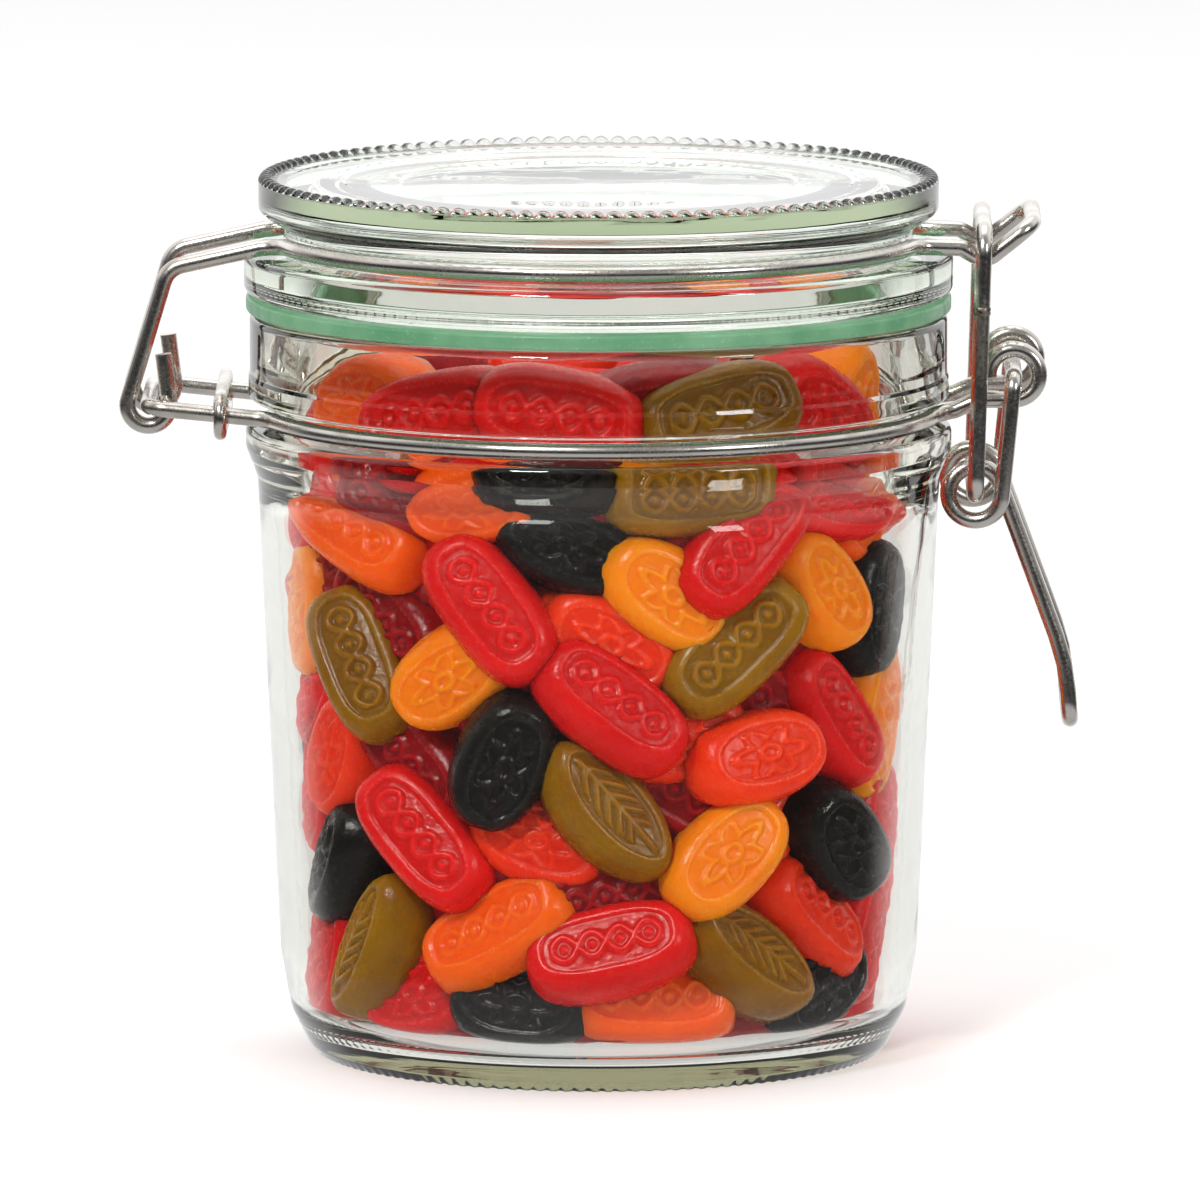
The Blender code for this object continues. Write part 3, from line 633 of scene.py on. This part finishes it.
def add_jar():
    """The jar, from its floor's middle up inside, over the rim and down to its underside."""
    wall_top = BODY_TOP_RADIUS - WALL
    wall_foot = BODY_FOOT_RADIUS - WALL
    groove = NECK_RING_RADIUS - WIRE / 2 - GAP
    corners = [
        (0, FLOOR + 0.6 * MM, 0),
        (24 * MM, FLOOR + 0.4 * MM, 60 * MM),
        (wall_foot - 0.4 * MM, FLOOR, FLOOR_BEND),
        (wall_foot, BODY_FOOT + 2 * MM, 30 * MM),
        (wall_top, BODY_TOP - 2 * MM, 12 * MM),
        (NECK_INNER_RADIUS, NECK_INNER_FOOT, 10 * MM),
        (NECK_INNER_RADIUS, RIM_TOP, 1.2 * MM),
        (RIM_RADIUS, RIM_TOP, 1.2 * MM),
        (RIM_RADIUS, RIM_BOTTOM, 0.5 * MM),
        (SHOULDER_RADIUS, RIM_BOTTOM - 0.6 * MM, 0.4 * MM),
        (SHOULDER_RADIUS, NECK_WIRE_HEIGHT + 2.1 * MM, 0.5 * MM),
        (groove, NECK_WIRE_HEIGHT + 1.4 * MM, 0.6 * MM),
        (groove, NECK_WIRE_HEIGHT - 1.4 * MM, 0.6 * MM),
        (BEAD_RADIUS, NECK_WIRE_HEIGHT - 2.2 * MM, 1.2 * MM),
        (BEAD_RADIUS, BEAD_HEIGHT - 1.2 * MM, 1.2 * MM),
        (BODY_TOP_RADIUS, BODY_TOP + 1.0 * MM, 6 * MM),
        (BODY_FOOT_RADIUS, BODY_FOOT, 20 * MM),
        (BODY_FOOT_RADIUS - 0.9 * MM, 9.6 * MM, 6 * MM),
        (FOOT_RADIUS + 3.6 * MM, 6.2 * MM, 4 * MM),
        (FOOT_RADIUS + 1.2 * MM, 1.4 * MM, 1.5 * MM),
        (FOOT_RADIUS, 0, 0.5 * MM),
        (FOOT_RADIUS - FOOT_WIDTH, 0, 0.5 * MM),
        (FOOT_RADIUS - FOOT_WIDTH - 1.5 * MM, 1.2 * MM, 1.0 * MM),
        (0, 1.8 * MM, 0),
    ]
    look = glass("jar_glass", (0.976, 0.977, 0.971), (0.40, 0.40, 0.16), 28.0)
    add_piece("glass_jar", turned_mesh("glass_jar", corners, JAR_SIDES, relief=jar_relief),
              look, "root", "jar_glass", "jar")


def add_gasket():
    """The rubber ring between the jar's rim and the lid."""
    foot = RIM_TOP + GAP
    corners = [
        (GASKET_INNER_RADIUS, GASKET_TOP, 0.3 * MM),
        (GASKET_RADIUS, GASKET_TOP, 0.5 * MM),
        (GASKET_RADIUS, foot, 0.5 * MM),
        (GASKET_INNER_RADIUS, foot, 0.3 * MM),
    ]
    add_piece("rubber_ring", turned_mesh("rubber_ring", corners, GASKET_SIDES, closed=True),
              rubber(), "root", "gasket_rubber", "gasket")


def add_lid():
    """The lid, from its top's middle outwards, down its edge and up inside."""
    groove = LID_RING_RADIUS - WIRE / 2 - GAP
    flange_foot = GASKET_TOP + GAP
    recess = LID_TOP - LID_RECESS
    ceiling = recess - LID_PLATE
    corners = [
        (0, recess - 0.3 * MM, 0),
        (28.0 * MM, recess - 0.3 * MM, 0.3 * MM),
        (28.5 * MM, recess - 0.05 * MM, 0.3 * MM),
        (36.1 * MM, recess - 0.05 * MM, 0.3 * MM),
        (36.7 * MM, recess + 0.15 * MM, 0.3 * MM),
        (44.6 * MM, recess, 0.6 * MM),
        (45.6 * MM, BEAD_FOOT, 0.3 * MM),
        *((BEAD_RING + share * BEAD_SIZE, BEAD_BASE, 0) for share in BEAD_SHARES),
        (LID_EDGE_RADIUS, BEAD_FOOT, 0.5 * MM),
        (LID_EDGE_RADIUS, LID_EDGE_FOOT, 1.2 * MM),
        (groove, LID_WIRE_HEIGHT + 1.6 * MM, 1.2 * MM),
        (groove, LID_WIRE_HEIGHT - 1.6 * MM, 0.9 * MM),
        (LID_FLANGE_RADIUS, LID_FLANGE_TOP, 1.2 * MM),
        (LID_FLANGE_RADIUS, flange_foot, 1.4 * MM),
        (GASKET_INNER_RADIUS, flange_foot, 0.8 * MM),
        (LID_INNER_RADIUS, flange_foot + 1.2 * MM, 1.2 * MM),
        (LID_INNER_RADIUS, ceiling, 1.0 * MM),
        (LENS_RADIUS, ceiling - LENS_DEPTH, 6.0 * MM),
        (0, ceiling - LENS_DEPTH, 0),
    ]
    look = glass("lid_glass", (0.962, 0.988, 0.974), (0.26, 0.38, 0.05), 13.0)
    add_piece("glass_lid", turned_mesh("glass_lid", corners, LID_SIDES, relief=lid_relief),
              look, "lid", "lid_glass", "lid")


# ---------------------------------------------------------------- wires

def add_neck_wires(look):
    """The wire round the neck, and the clip ring that holds its two prongs together."""
    eye = side_arc(LEVER_PIVOT, EYE_RADIUS, 185, -90, -EYE_Y)
    eye_foot = LEVER_PIVOT.z - EYE_RADIUS
    ring = front_half_ring(NECK_RING_RADIUS, NECK_WIRE_HEIGHT,
                           (PRONG_Y, 0.4 * MM), (EYE_Y, 1.0 * MM))
    loop = bend([(ring[0], 0), (at_y(HINGE, -PRONG_Y), 2.6 * MM),
                 (at_y(HINGE, PRONG_Y), 2.6 * MM), (mirrored(ring)[-1], 0)])[1:-1]
    rise = Vector((LEVER_PIVOT.x - EYE_RADIUS - 1.4 * MM, -EYE_Y, eye_foot))
    front = [*eye, *bend([(eye[-1], 0), (rise, 6 * MM), (ring[-1], 0)])[1:-1], *ring[::-1]]
    add_piece("neck_wire_steel", wire_curve("neck_wire_steel", front + loop + mirrored(front),
                                            WIRE), look, "root", "steel_wire", "neck_wire")

    share = (CLIP_X + NECK_RING_RADIUS) / (HINGE.x + NECK_RING_RADIUS)
    height = NECK_WIRE_HEIGHT + (HINGE.z - NECK_WIRE_HEIGHT) * share
    half_height = (WIRE + CLIP_WIRE) / 2 + GAP
    half_width = PRONG_Y + half_height
    corners = [(Vector((CLIP_X, y * half_width, height + z * half_height)), 2.3 * MM)
               for y, z in ((-1, -1), (-1, 1), (1, 1), (1, -1))]
    add_piece("clip_ring_steel", wire_curve("clip_ring_steel", bend(corners, closed=True),
                                            CLIP_WIRE, True), look, "root", "steel_wire",
              "clip_ring")


def add_lid_wire(look):
    """The wire round the lid, from its hooks at the hinge to its nose at the latch."""
    leg_angle = tangent_angle(HINGE, HOOK_RADIUS, LEG_CORNER, 1)
    end_angle = tangent_angle(HINGE, HOOK_RADIUS, HOOK_END, -1)
    hook = side_arc(HINGE, HOOK_RADIUS, end_angle + 360, leg_angle, -LID_WIRE_Y)
    ring = front_half_ring(LID_RING_RADIUS, LID_WIRE_HEIGHT,
                           (LID_WIRE_Y, -0.4 * MM), (LID_WIRE_Y, -0.2 * MM))
    leg = bend([(hook[-1], 0), (at_y(LEG_CORNER, -LID_WIRE_Y), 3.5 * MM), (ring[0], 0)])
    half_notch = Vector((NOTCH_WIDTH / 2, 0, 0))
    shoulder = Vector((NOTCH.x - 3.2 * MM, 0, LID_WIRE_HEIGHT - 0.3 * MM))
    nose = bend([(ring[-1], 0),
                 (at_y(shoulder, -LID_WIRE_Y), 1.5 * MM),
                 (at_y(NOTCH - half_notch, -LID_WIRE_Y), 1.5 * MM),
                 (at_y(NOTCH + half_notch, -LID_WIRE_Y), 1.5 * MM),
                 (at_y(NOSE_TIP, -LID_WIRE_Y), 3.0 * MM),
                 (at_y(NOSE_TIP, 0), 0)])
    front = [at_y(HOOK_END, -LID_WIRE_Y), *hook, *leg[1:-1], *ring, *nose[1:-1]]
    add_piece("lid_wire_steel", wire_curve("lid_wire_steel", front + mirrored(front), WIRE),
              look, "lid", "steel_wire", "lid_wire")


def add_latch(look):
    """The lever with its two coils, and the link with its weld."""
    first = tangent_angle(LINK_PIVOT, COIL_RADIUS, LEVER_PIVOT, -1)
    last = tangent_angle(LINK_PIVOT, COIL_RADIUS, HANDLE_KNEE, 1) - 360
    coil = side_arc(LINK_PIVOT, COIL_RADIUS, first, last, -LEVER_Y, -HANDLE_Y)
    top = bend([(at_y(LEVER_PIVOT, 0), 0), (at_y(LEVER_PIVOT, -LEVER_Y), 2.2 * MM),
                (coil[0], 0)])
    handle = bend([(coil[-1], 0), (at_y(HANDLE_KNEE, -HANDLE_Y), 30 * MM),
                   (at_y(HANDLE_END, -HANDLE_Y), 3.0 * MM), (at_y(HANDLE_END, 0), 0)])
    front = [*top[1:-1], *coil, *handle[1:-1]]
    add_piece("lever_steel", wire_curve("lever_steel", front + mirrored(front), WIRE, True),
              look, "lever", "steel_wire", "latch_lever")

    corners = [(at_y(LINK_PIVOT, -LINK_Y), 3.0 * MM), (at_y(LINK_TOP, -LINK_Y), 3.6 * MM),
               (at_y(LINK_TOP, LINK_Y), 3.6 * MM), (at_y(LINK_PIVOT, LINK_Y), 3.0 * MM)]
    add_piece("link_steel", wire_curve("link_steel", bend(corners, closed=True), WIRE, True),
              look, "link", "steel_wire", "latch_link")
    share = (WELD_HEIGHT - LINK_PIVOT.z) / (LINK_TOP.z - LINK_PIVOT.z)
    seam = at_y(LINK_PIVOT.lerp(LINK_TOP, share), -LINK_Y)
    up = (LINK_TOP - LINK_PIVOT).normalized()
    collar = wire_curve("link_weld", [seam + up * d * MM for d, _ in WELD_PROFILE],
                        WIRE + WELD_THICKER)
    for point, (_, width) in zip(collar.splines[0].points, WELD_PROFILE):
        point.radius = width
    add_piece("link_weld", collar, weld_steel(), "link", "steel_wire")


def add_wires():
    """All the wires, of one steel."""
    look = steel()
    add_neck_wires(look)
    add_lid_wire(look)
    add_latch(look)


# ---------------------------------------------------------------- wine gums

def room_inside(height):
    """Radius that a wine gum may reach at a height."""
    if height < FLOOR + FLOOR_BEND:
        rise = FLOOR + FLOOR_BEND - max(height, FLOOR)
        room = BODY_FOOT_RADIUS - WALL - 0.6 * MM - FLOOR_BEND
        return room + math.sqrt(max(0.0, FLOOR_BEND ** 2 - rise ** 2)) - GLASS_GAP
    if height < BODY_TOP - 2 * MM:
        share = (height - BODY_FOOT) / (BODY_TOP - BODY_FOOT)
        wide = BODY_FOOT_RADIUS + (BODY_TOP_RADIUS - BODY_FOOT_RADIUS) * share
        return wide - WALL - GLASS_GAP
    share = min(1.0, (height - BODY_TOP + 2 * MM) / (NECK_INNER_FOOT - BODY_TOP + 2 * MM))
    wide = BODY_TOP_RADIUS - WALL
    return wide + (NECK_INNER_RADIUS - wide) * share - GLASS_GAP


def outline(shape, along, across):
    """A unit circle's point carried to a gum's outline, seen on its moulded face."""
    power_along, power_across = OUTLINE_POWERS[shape]
    along = math.copysign(abs(along) ** power_along, along)
    across = math.copysign(abs(across) ** power_across, across)
    length, width = GUM_SIZES[shape]
    return along * length / 2, across * width / 2


def smooth(share):
    """0 up to 0 and 1 from 1 on, with a soft start and end between them."""
    share = max(0.0, min(1.0, share))
    return share * share * (3 - 2 * share)


def ridge(distance, half_width):
    """1 on a moulded line, 0 away from it, with steep sides. Both are in mm."""
    return smooth((half_width - distance) / RIDGE_SIDE + 0.5)


def motif(shape, x, y):
    """Height, 0 to 1, of the pattern moulded on a gum, at a place in mm."""
    if shape == "bar":
        # Two crossing strands with a dot in each of their loops
        if abs(x) > BRAID_REACH:
            return 0.0
        turn = math.pi * x / BRAID_LOOP
        steep = math.sqrt(1 + (BRAID_WIDTH * math.pi / BRAID_LOOP * math.cos(turn)) ** 2)
        braid = abs(abs(y) - abs(BRAID_WIDTH * math.sin(turn))) / steep
        dots = min(math.hypot(x - middle, y) for middle in BRAID_DOTS)
        return max(ridge(braid, 0.38), ridge(dots, 0.55))
    if shape == "oval":
        # A flower of six petals round a ring
        turn = math.atan2(y * FLOWER_STRETCH, x)
        reach = math.hypot(x, y * FLOWER_STRETCH)
        petals = abs(reach - FLOWER_RADIUS - PETAL_RISE * math.cos(6 * turn)) / 1.5
        return max(ridge(petals, 0.45), ridge(abs(reach - FLOWER_RING), 0.45))
    # A leaf with a rib along it and slanted veins
    rib = abs(y) if abs(x) < RIB_REACH else 9.0
    veins = min(abs(abs(y) - VEIN_SLOPE * (x - start)) / 1.3 for start in VEIN_STARTS)
    edge = 3.0 - 0.035 * x * x
    return max(ridge(rib, 0.4), ridge(veins, 0.36) if abs(y) < edge else 0.0)


def gum_shape(shape, detail):
    """Points, faces, edge wear and painted hollow shade of a gum, its moulded face towards +Z."""
    length, width = GUM_SIZES[shape]
    across_x, across_y = CELLS[detail]
    fine = detail != "gap"
    places, wear, painted_hollow_shade = [], [], []

    def shrunk(circle, inset):
        x, y = outline(shape, *circle)
        return x * (1 - 2 * inset * MM / length), y * (1 - 2 * inset * MM / width)

    grid = {}
    for i in range(across_x + 1):
        for j in range(across_y + 1):
            u, v = 2 * i / across_x - 1, 2 * j / across_y - 1
            disc_x, disc_y = u * math.sqrt(1 - v * v / 2), v * math.sqrt(1 - u * u / 2)
            reach = min(1.0, math.hypot(disc_x, disc_y))
            turn = math.atan2(disc_y, disc_x)
            x, y = shrunk((math.cos(turn), math.sin(turn)), PANEL_INSET)
            from_edge = (1 - reach) * math.hypot(x, y) / MM
            x, y = x * reach, y * reach
            raised = motif(shape, x / MM, y / MM) if fine else 0.0
            rim = smooth(1 - from_edge / RIM_WIDTH)
            inside = max(0.0, min(1.0, (from_edge - MOTIF_INSET) / MOTIF_FADE))
            lift = raised * inside
            grid[i, j] = len(places)
            height = PANEL_HEIGHT + DOME_HEIGHT * (1 - reach * reach)
            places.append((x, y, (height + RIM_HEIGHT * rim + MOTIF_HEIGHT * lift) * MM))
            wear.append(max(rim, 4 * lift * (1 - lift)))
            # Painted shade: 1 on the moulded face away from its rim and pattern, 0 on them
            painted_hollow_shade.append((1 - rim) * (1 - lift))
    faces = [(grid[i, j], grid[i + 1, j], grid[i + 1, j + 1], grid[i, j + 1])
             for i in range(across_x) for j in range(across_y)]
    ring = ([(i, 0) for i in range(across_x)] + [(across_x, j) for j in range(across_y)]
            + [(i, across_y) for i in range(across_x, 0, -1)]
            + [(0, j) for j in range(across_y, 0, -1)])
    circle = []
    for i, j in ring:
        u, v = 2 * i / across_x - 1, 2 * j / across_y - 1
        turn = math.atan2(v * math.sqrt(1 - u * u / 2), u * math.sqrt(1 - v * v / 2))
        circle.append((math.cos(turn), math.sin(turn)))
    inner = [grid[place] for place in ring]
    for inset, height in SIDE_PROFILE:
        outer = [len(places) + k for k in range(len(ring))]
        places += [(*shrunk(point, inset), height * MM) for point in circle]
        rim = max(0.0, min(1.0, (height - WEAR_FOOT) / WEAR_FADE))
        wear += [rim] * len(ring)
        painted_hollow_shade += [0.0] * len(ring)
        faces += [(inner[k], outer[k], outer[(k + 1) % len(ring)], inner[(k + 1) % len(ring)])
                  for k in range(len(ring))]
        inner = outer
    faces.append(tuple(reversed(inner)))
    return np.array(places), faces, np.array(wear), np.array(painted_hollow_shade)


def against_glass(places, bearing, height, slope, depth, lean):
    """Placement of a wine gum near the glass, turned from it by (yaw, pitch, roll)."""
    outward = Vector((math.sin(bearing), -math.cos(bearing), 0))
    along = Vector((math.cos(bearing), math.sin(bearing), 0))
    long_way = along * math.cos(slope) + Vector((0, 0, math.sin(slope)))
    turn = Matrix((long_way, outward.cross(long_way), outward)).transposed()
    turn = turn @ Matrix.Rotation(lean[1], 3, "Y") @ Matrix.Rotation(lean[2], 3, "X")
    turn = Matrix.Rotation(lean[0], 3, "Z") @ turn
    placed = places @ np.array(turn).T
    height = max(height, FLOOR + GLASS_GAP - placed[:, 2].min())
    height = min(height, FILL_TOP - placed[:, 2].max())
    sideways = placed @ np.array(along)
    forward = placed @ np.array(outward) + SHOULDER_RADIUS
    room = np.array([room_inside(height + z) for z in placed[:, 2]])
    over = (forward - np.sqrt(np.maximum(0.0, room ** 2 - sideways ** 2))).max()
    middle = outward * (SHOULDER_RADIUS - over - depth) + Vector((0, 0, height))
    return Matrix.Translation(middle) @ turn.to_4x4()


def gum_places(plain):
    """(shape, placement, colour, detail) of every wine gum."""
    draw = random.Random(SEED)
    paint = random.Random(SEED + 5)
    places = []
    for shape, bearing, height, slope, depth, roll, colour in FRONT_GUMS:
        bearing = math.radians(bearing)
        lean = (bearing * (FACE_SHARE - 1), math.radians(paint.uniform(-5, 5)),
                math.radians(roll))
        place = against_glass(plain[shape], bearing, height * MM, math.radians(slope),
                              depth * MM, lean)
        places.append((shape, place, colour, "front"))
    for row in range(BACK_ROWS):
        for k in range(BACK_COLUMNS):
            share = (k + 0.5 * (row % 2) + draw.uniform(0.1, 0.4)) / BACK_COLUMNS
            bearing = math.radians(BACK_START + BACK_ARC * share)
            height = BACK_FOOT + BACK_RISE * row / (BACK_ROWS - 1) + draw.uniform(-2, 2) * MM
            slope = math.radians(draw.choice(BACK_SLOPES))
            shape = draw.choice(("bar", "bar", "oval", "oval", "lens"))
            depth = draw.choice((0, 0.5, 2)) * MM
            lean = (0.0, math.radians(paint.uniform(-5, 5)), math.radians(paint.uniform(-15, 5)))
            place = against_glass(plain[shape], bearing, height, slope, depth, lean)
            places.append((shape, place, paint.choice(HIDDEN_COLOURS), "back"))
    draw = random.Random(SEED + 1)
    for k in range(TOP_COUNT):
        angle = k * TOP_SPIRAL
        reach = TOP_REACH * math.sqrt((k + 0.3) / TOP_COUNT)
        tip = Matrix.Rotation(math.radians(draw.uniform(-18, 18)), 4, "X")
        spin = Matrix.Rotation(math.radians(draw.uniform(0, 360)), 4, "Z")
        place = Vector((reach * math.cos(angle), reach * math.sin(angle),
                        CORE_TOP + draw.uniform(1, 4) * MM))
        shape = draw.choice(("bar", "oval", "lens"))
        places.append((shape, Matrix.Translation(place) @ spin @ tip,
                       paint.choice(HIDDEN_COLOURS), "back"))
    for row in range(GAP_ROWS):
        for k in range(GAP_COLUMNS):
            bearing = (2 * math.pi * (k + 0.5 * (row % 2)) / GAP_COLUMNS
                       + paint.uniform(-0.1, 0.1))
            height = (GAP_FOOT + GAP_RISE * row / (GAP_ROWS - 1) + paint.uniform(-2.5, 2.5)) * MM
            shape = paint.choice(("bar", "oval"))
            lean = (0.0, paint.uniform(-GAP_LEAN, GAP_LEAN), paint.uniform(-GAP_LEAN, GAP_LEAN))
            place = against_glass(plain[shape], bearing, height,
                                  paint.uniform(-GAP_SLOPE, GAP_SLOPE),
                                  paint.uniform(*GAP_DEPTHS) * MM, lean)
            places.append((shape, place, paint.choice(GAP_COLOURS), "gap"))
    return places


def add_wine_gums():
    """The gums, joined by colour, and the core that they lie on."""
    shapes = {(shape, detail): gum_shape(shape, detail)
              for shape in GUM_SIZES for detail in CELLS}
    looks = {colour: gum_material("gum_" + colour, *look) for colour, look in GUM_LOOKS.items()}
    gums = {colour: [] for colour in looks}
    plain = {shape: shapes[shape, "gap"][0] for shape in GUM_SIZES}
    for shape, place, colour, detail in gum_places(plain):
        gums[colour].append((shapes[shape, detail], place))
    tones = random.Random(SEED + 9)
    for colour, members in gums.items():
        places, faces, wear, painted_hollow_shade, tone = [], [], [], [], []
        for (points, sides, edge, deep_and_shade), place in members:
            first = sum(len(p) for p in places)
            matrix = np.array(place)
            places.append(points @ matrix[:3, :3].T + matrix[:3, 3])
            faces += [tuple(c + first for c in face) for face in sides]
            wear.append(edge)
            painted_hollow_shade.append(deep_and_shade)
            tone.append(np.full(len(points), tones.random()))
        mesh = bpy.data.meshes.new("gums_" + colour)
        mesh.from_pydata(np.concatenate(places).tolist(), [], faces)
        # Edge wear, painted hollow shade and tone go on as point attributes.
        for name, values in (("edge", wear), ("painted_hollow_shade", painted_hollow_shade), ("tone", tone)):
            attribute = mesh.attributes.new(name, "FLOAT", "POINT")
            attribute.data.foreach_set("value", np.concatenate(values).astype(np.float32))
        mesh.shade_smooth()
        add_piece("gums_" + colour, mesh, looks[colour], "root", "wine_gum", "wine_gums")

    # The core is a sphere drawn out to a cylinder with rounded ends, and lumpy.
    core = bmesh.new()
    bmesh.ops.create_uvsphere(core, u_segments=64, v_segments=32, radius=1.0)
    lumps = random.Random(SEED + 3)
    for vertex in core.verts:
        x, y, z = vertex.co
        flat = math.hypot(x, y)
        wide = min(1.0, flat * 1.6)
        swell = 1 + lumps.uniform(-0.03, 0.03)
        radius = CORE_RADIUS * wide * swell
        vertex.co = (x / max(flat, 1e-6) * radius, y / max(flat, 1e-6) * radius,
                     (CORE_TOP + FLOOR) / 2 + math.copysign(min(1.0, abs(z) * 1.3), z)
                     * ((CORE_TOP - FLOOR) / 2 - 2 * MM))
    mesh = bpy.data.meshes.new("gum_heap_core")
    core.to_mesh(mesh)
    core.free()
    mesh.shade_smooth()
    add_piece("gum_heap_core", mesh, looks["crimson"], "root", "wine_gum", "wine_gums")


# ---------------------------------------------------------------- studio

def add_world():
    """White light from above, from below and from behind, dark in front for contrast."""
    world = bpy.data.worlds.new("studio")
    bpy.context.scene.world = world
    world.use_nodes = True
    tree = world.node_tree
    tree.nodes.clear()
    way = node(tree, "ShaderNodeSeparateXYZ")
    link(tree, node(tree, "ShaderNodeTexCoord").outputs["Generated"], way.inputs[0])
    y, z = way.outputs["Y"], way.outputs["Z"]
    above = math_node(tree, "MULTIPLY", ramp(tree, z, 0.05, 0.4, 0.05, 1.1),
                      ramp(tree, y, -0.35, 0.05, 0.28, 1.0))
    below = ramp(tree, z, -0.5, -0.2, 0.6, 0.02)
    behind = math_node(tree, "MULTIPLY", ramp(tree, y, 0.35, 0.75),
                       ramp(tree, z, -0.05, 0.1, 0.97, 1.35))
    light = math_node(tree, "MAXIMUM", math_node(tree, "MAXIMUM", above, below), behind)
    # Straight through the glass it is bright on every side; its reflections stay darker.
    path = node(tree, "ShaderNodeLightPath")
    straight = math_node(tree, "MULTIPLY", path.outputs["Is Transmission Ray"],
                         math_node(tree, "LESS_THAN", path.outputs["Glossy Depth"], 0.5))
    through = math_node(tree, "MULTIPLY", straight, ramp(tree, z, -0.35, -0.15, 0.0, 0.97))
    seen = math_node(tree, "MAXIMUM", math_node(tree, "MAXIMUM", light, through),
                     math_node(tree, "MULTIPLY", path.outputs["Is Camera Ray"], 1.1))
    background = node(tree, "ShaderNodeBackground")
    background.inputs["Color"].default_value = (1.0, 1.0, 1.0, 1.0)
    link(tree, seen, background.inputs["Strength"])
    output = node(tree, "ShaderNodeOutputWorld")
    link(tree, background.outputs[0], output.inputs["Surface"])


def add_floor():
    """A white floor, which the glass neither mirrors nor shows through itself."""
    floor = bpy.data.meshes.new("studio_floor")
    shape = bmesh.new()
    bmesh.ops.create_circle(shape, cap_ends=True, segments=96, radius=FLOOR_REACH)
    shape.to_mesh(floor)
    shape.free()
    look, tree, shader = material("studio_floor")
    place = object_place(tree)
    link(tree, blend_colours(tree, ramp(tree, noise(tree, place, 3, 2), 0.3, 0.7),
                             (0.90, 0.90, 0.90), (0.915, 0.915, 0.912)),
         shader.inputs["Base Color"])
    shader.inputs["Roughness"].default_value = 0.9
    shader.inputs["Specular IOR Level"].default_value = 0.1
    shader.inputs["Emission Color"].default_value = (1.0, 1.0, 1.0, 1.0)
    shader.inputs["Emission Strength"].default_value = 0.05
    piece = bpy.data.objects.new("studio_floor", floor)
    piece.location.z = -0.1 * MM
    piece.visible_glossy = False
    piece.visible_transmission = False
    bpy.context.scene.collection.objects.link(piece)
    floor.materials.append(look)


def add_lamps():
    """Square lamps that face the jar's middle."""
    for name, place, size, power in LAMPS:
        lamp = bpy.data.lights.new(name, "AREA")
        lamp.size = size
        lamp.energy = power
        holder = bpy.data.objects.new(name, lamp)
        holder.location = place
        holder.rotation_euler = (TARGET - Vector(place)).to_track_quat("-Z", "Y").to_euler()
        bpy.context.scene.collection.objects.link(holder)


def add_camera():
    """The photograph's view."""
    camera = bpy.data.cameras.new("camera")
    camera.sensor_width = SENSOR
    camera.lens = FOCAL_PIXELS / PICTURE * SENSOR
    camera.clip_end = 50
    holder = bpy.data.objects.new("camera", camera)
    back = Vector((math.sin(AZIMUTH) * math.cos(ELEVATION),
                   -math.cos(AZIMUTH) * math.cos(ELEVATION), math.sin(ELEVATION)))
    holder.location = TARGET + back * CAMERA_DISTANCE
    holder.rotation_euler = (-back).to_track_quat("-Z", "Y").to_euler()
    bpy.context.scene.collection.objects.link(holder)
    bpy.context.scene.camera = holder


add_jar()
add_gasket()
add_lid()
add_wires()
add_wine_gums()

bpy.context.scene.view_settings.view_transform = "Standard"
add_world()
add_floor()
add_lamps()
add_camera()
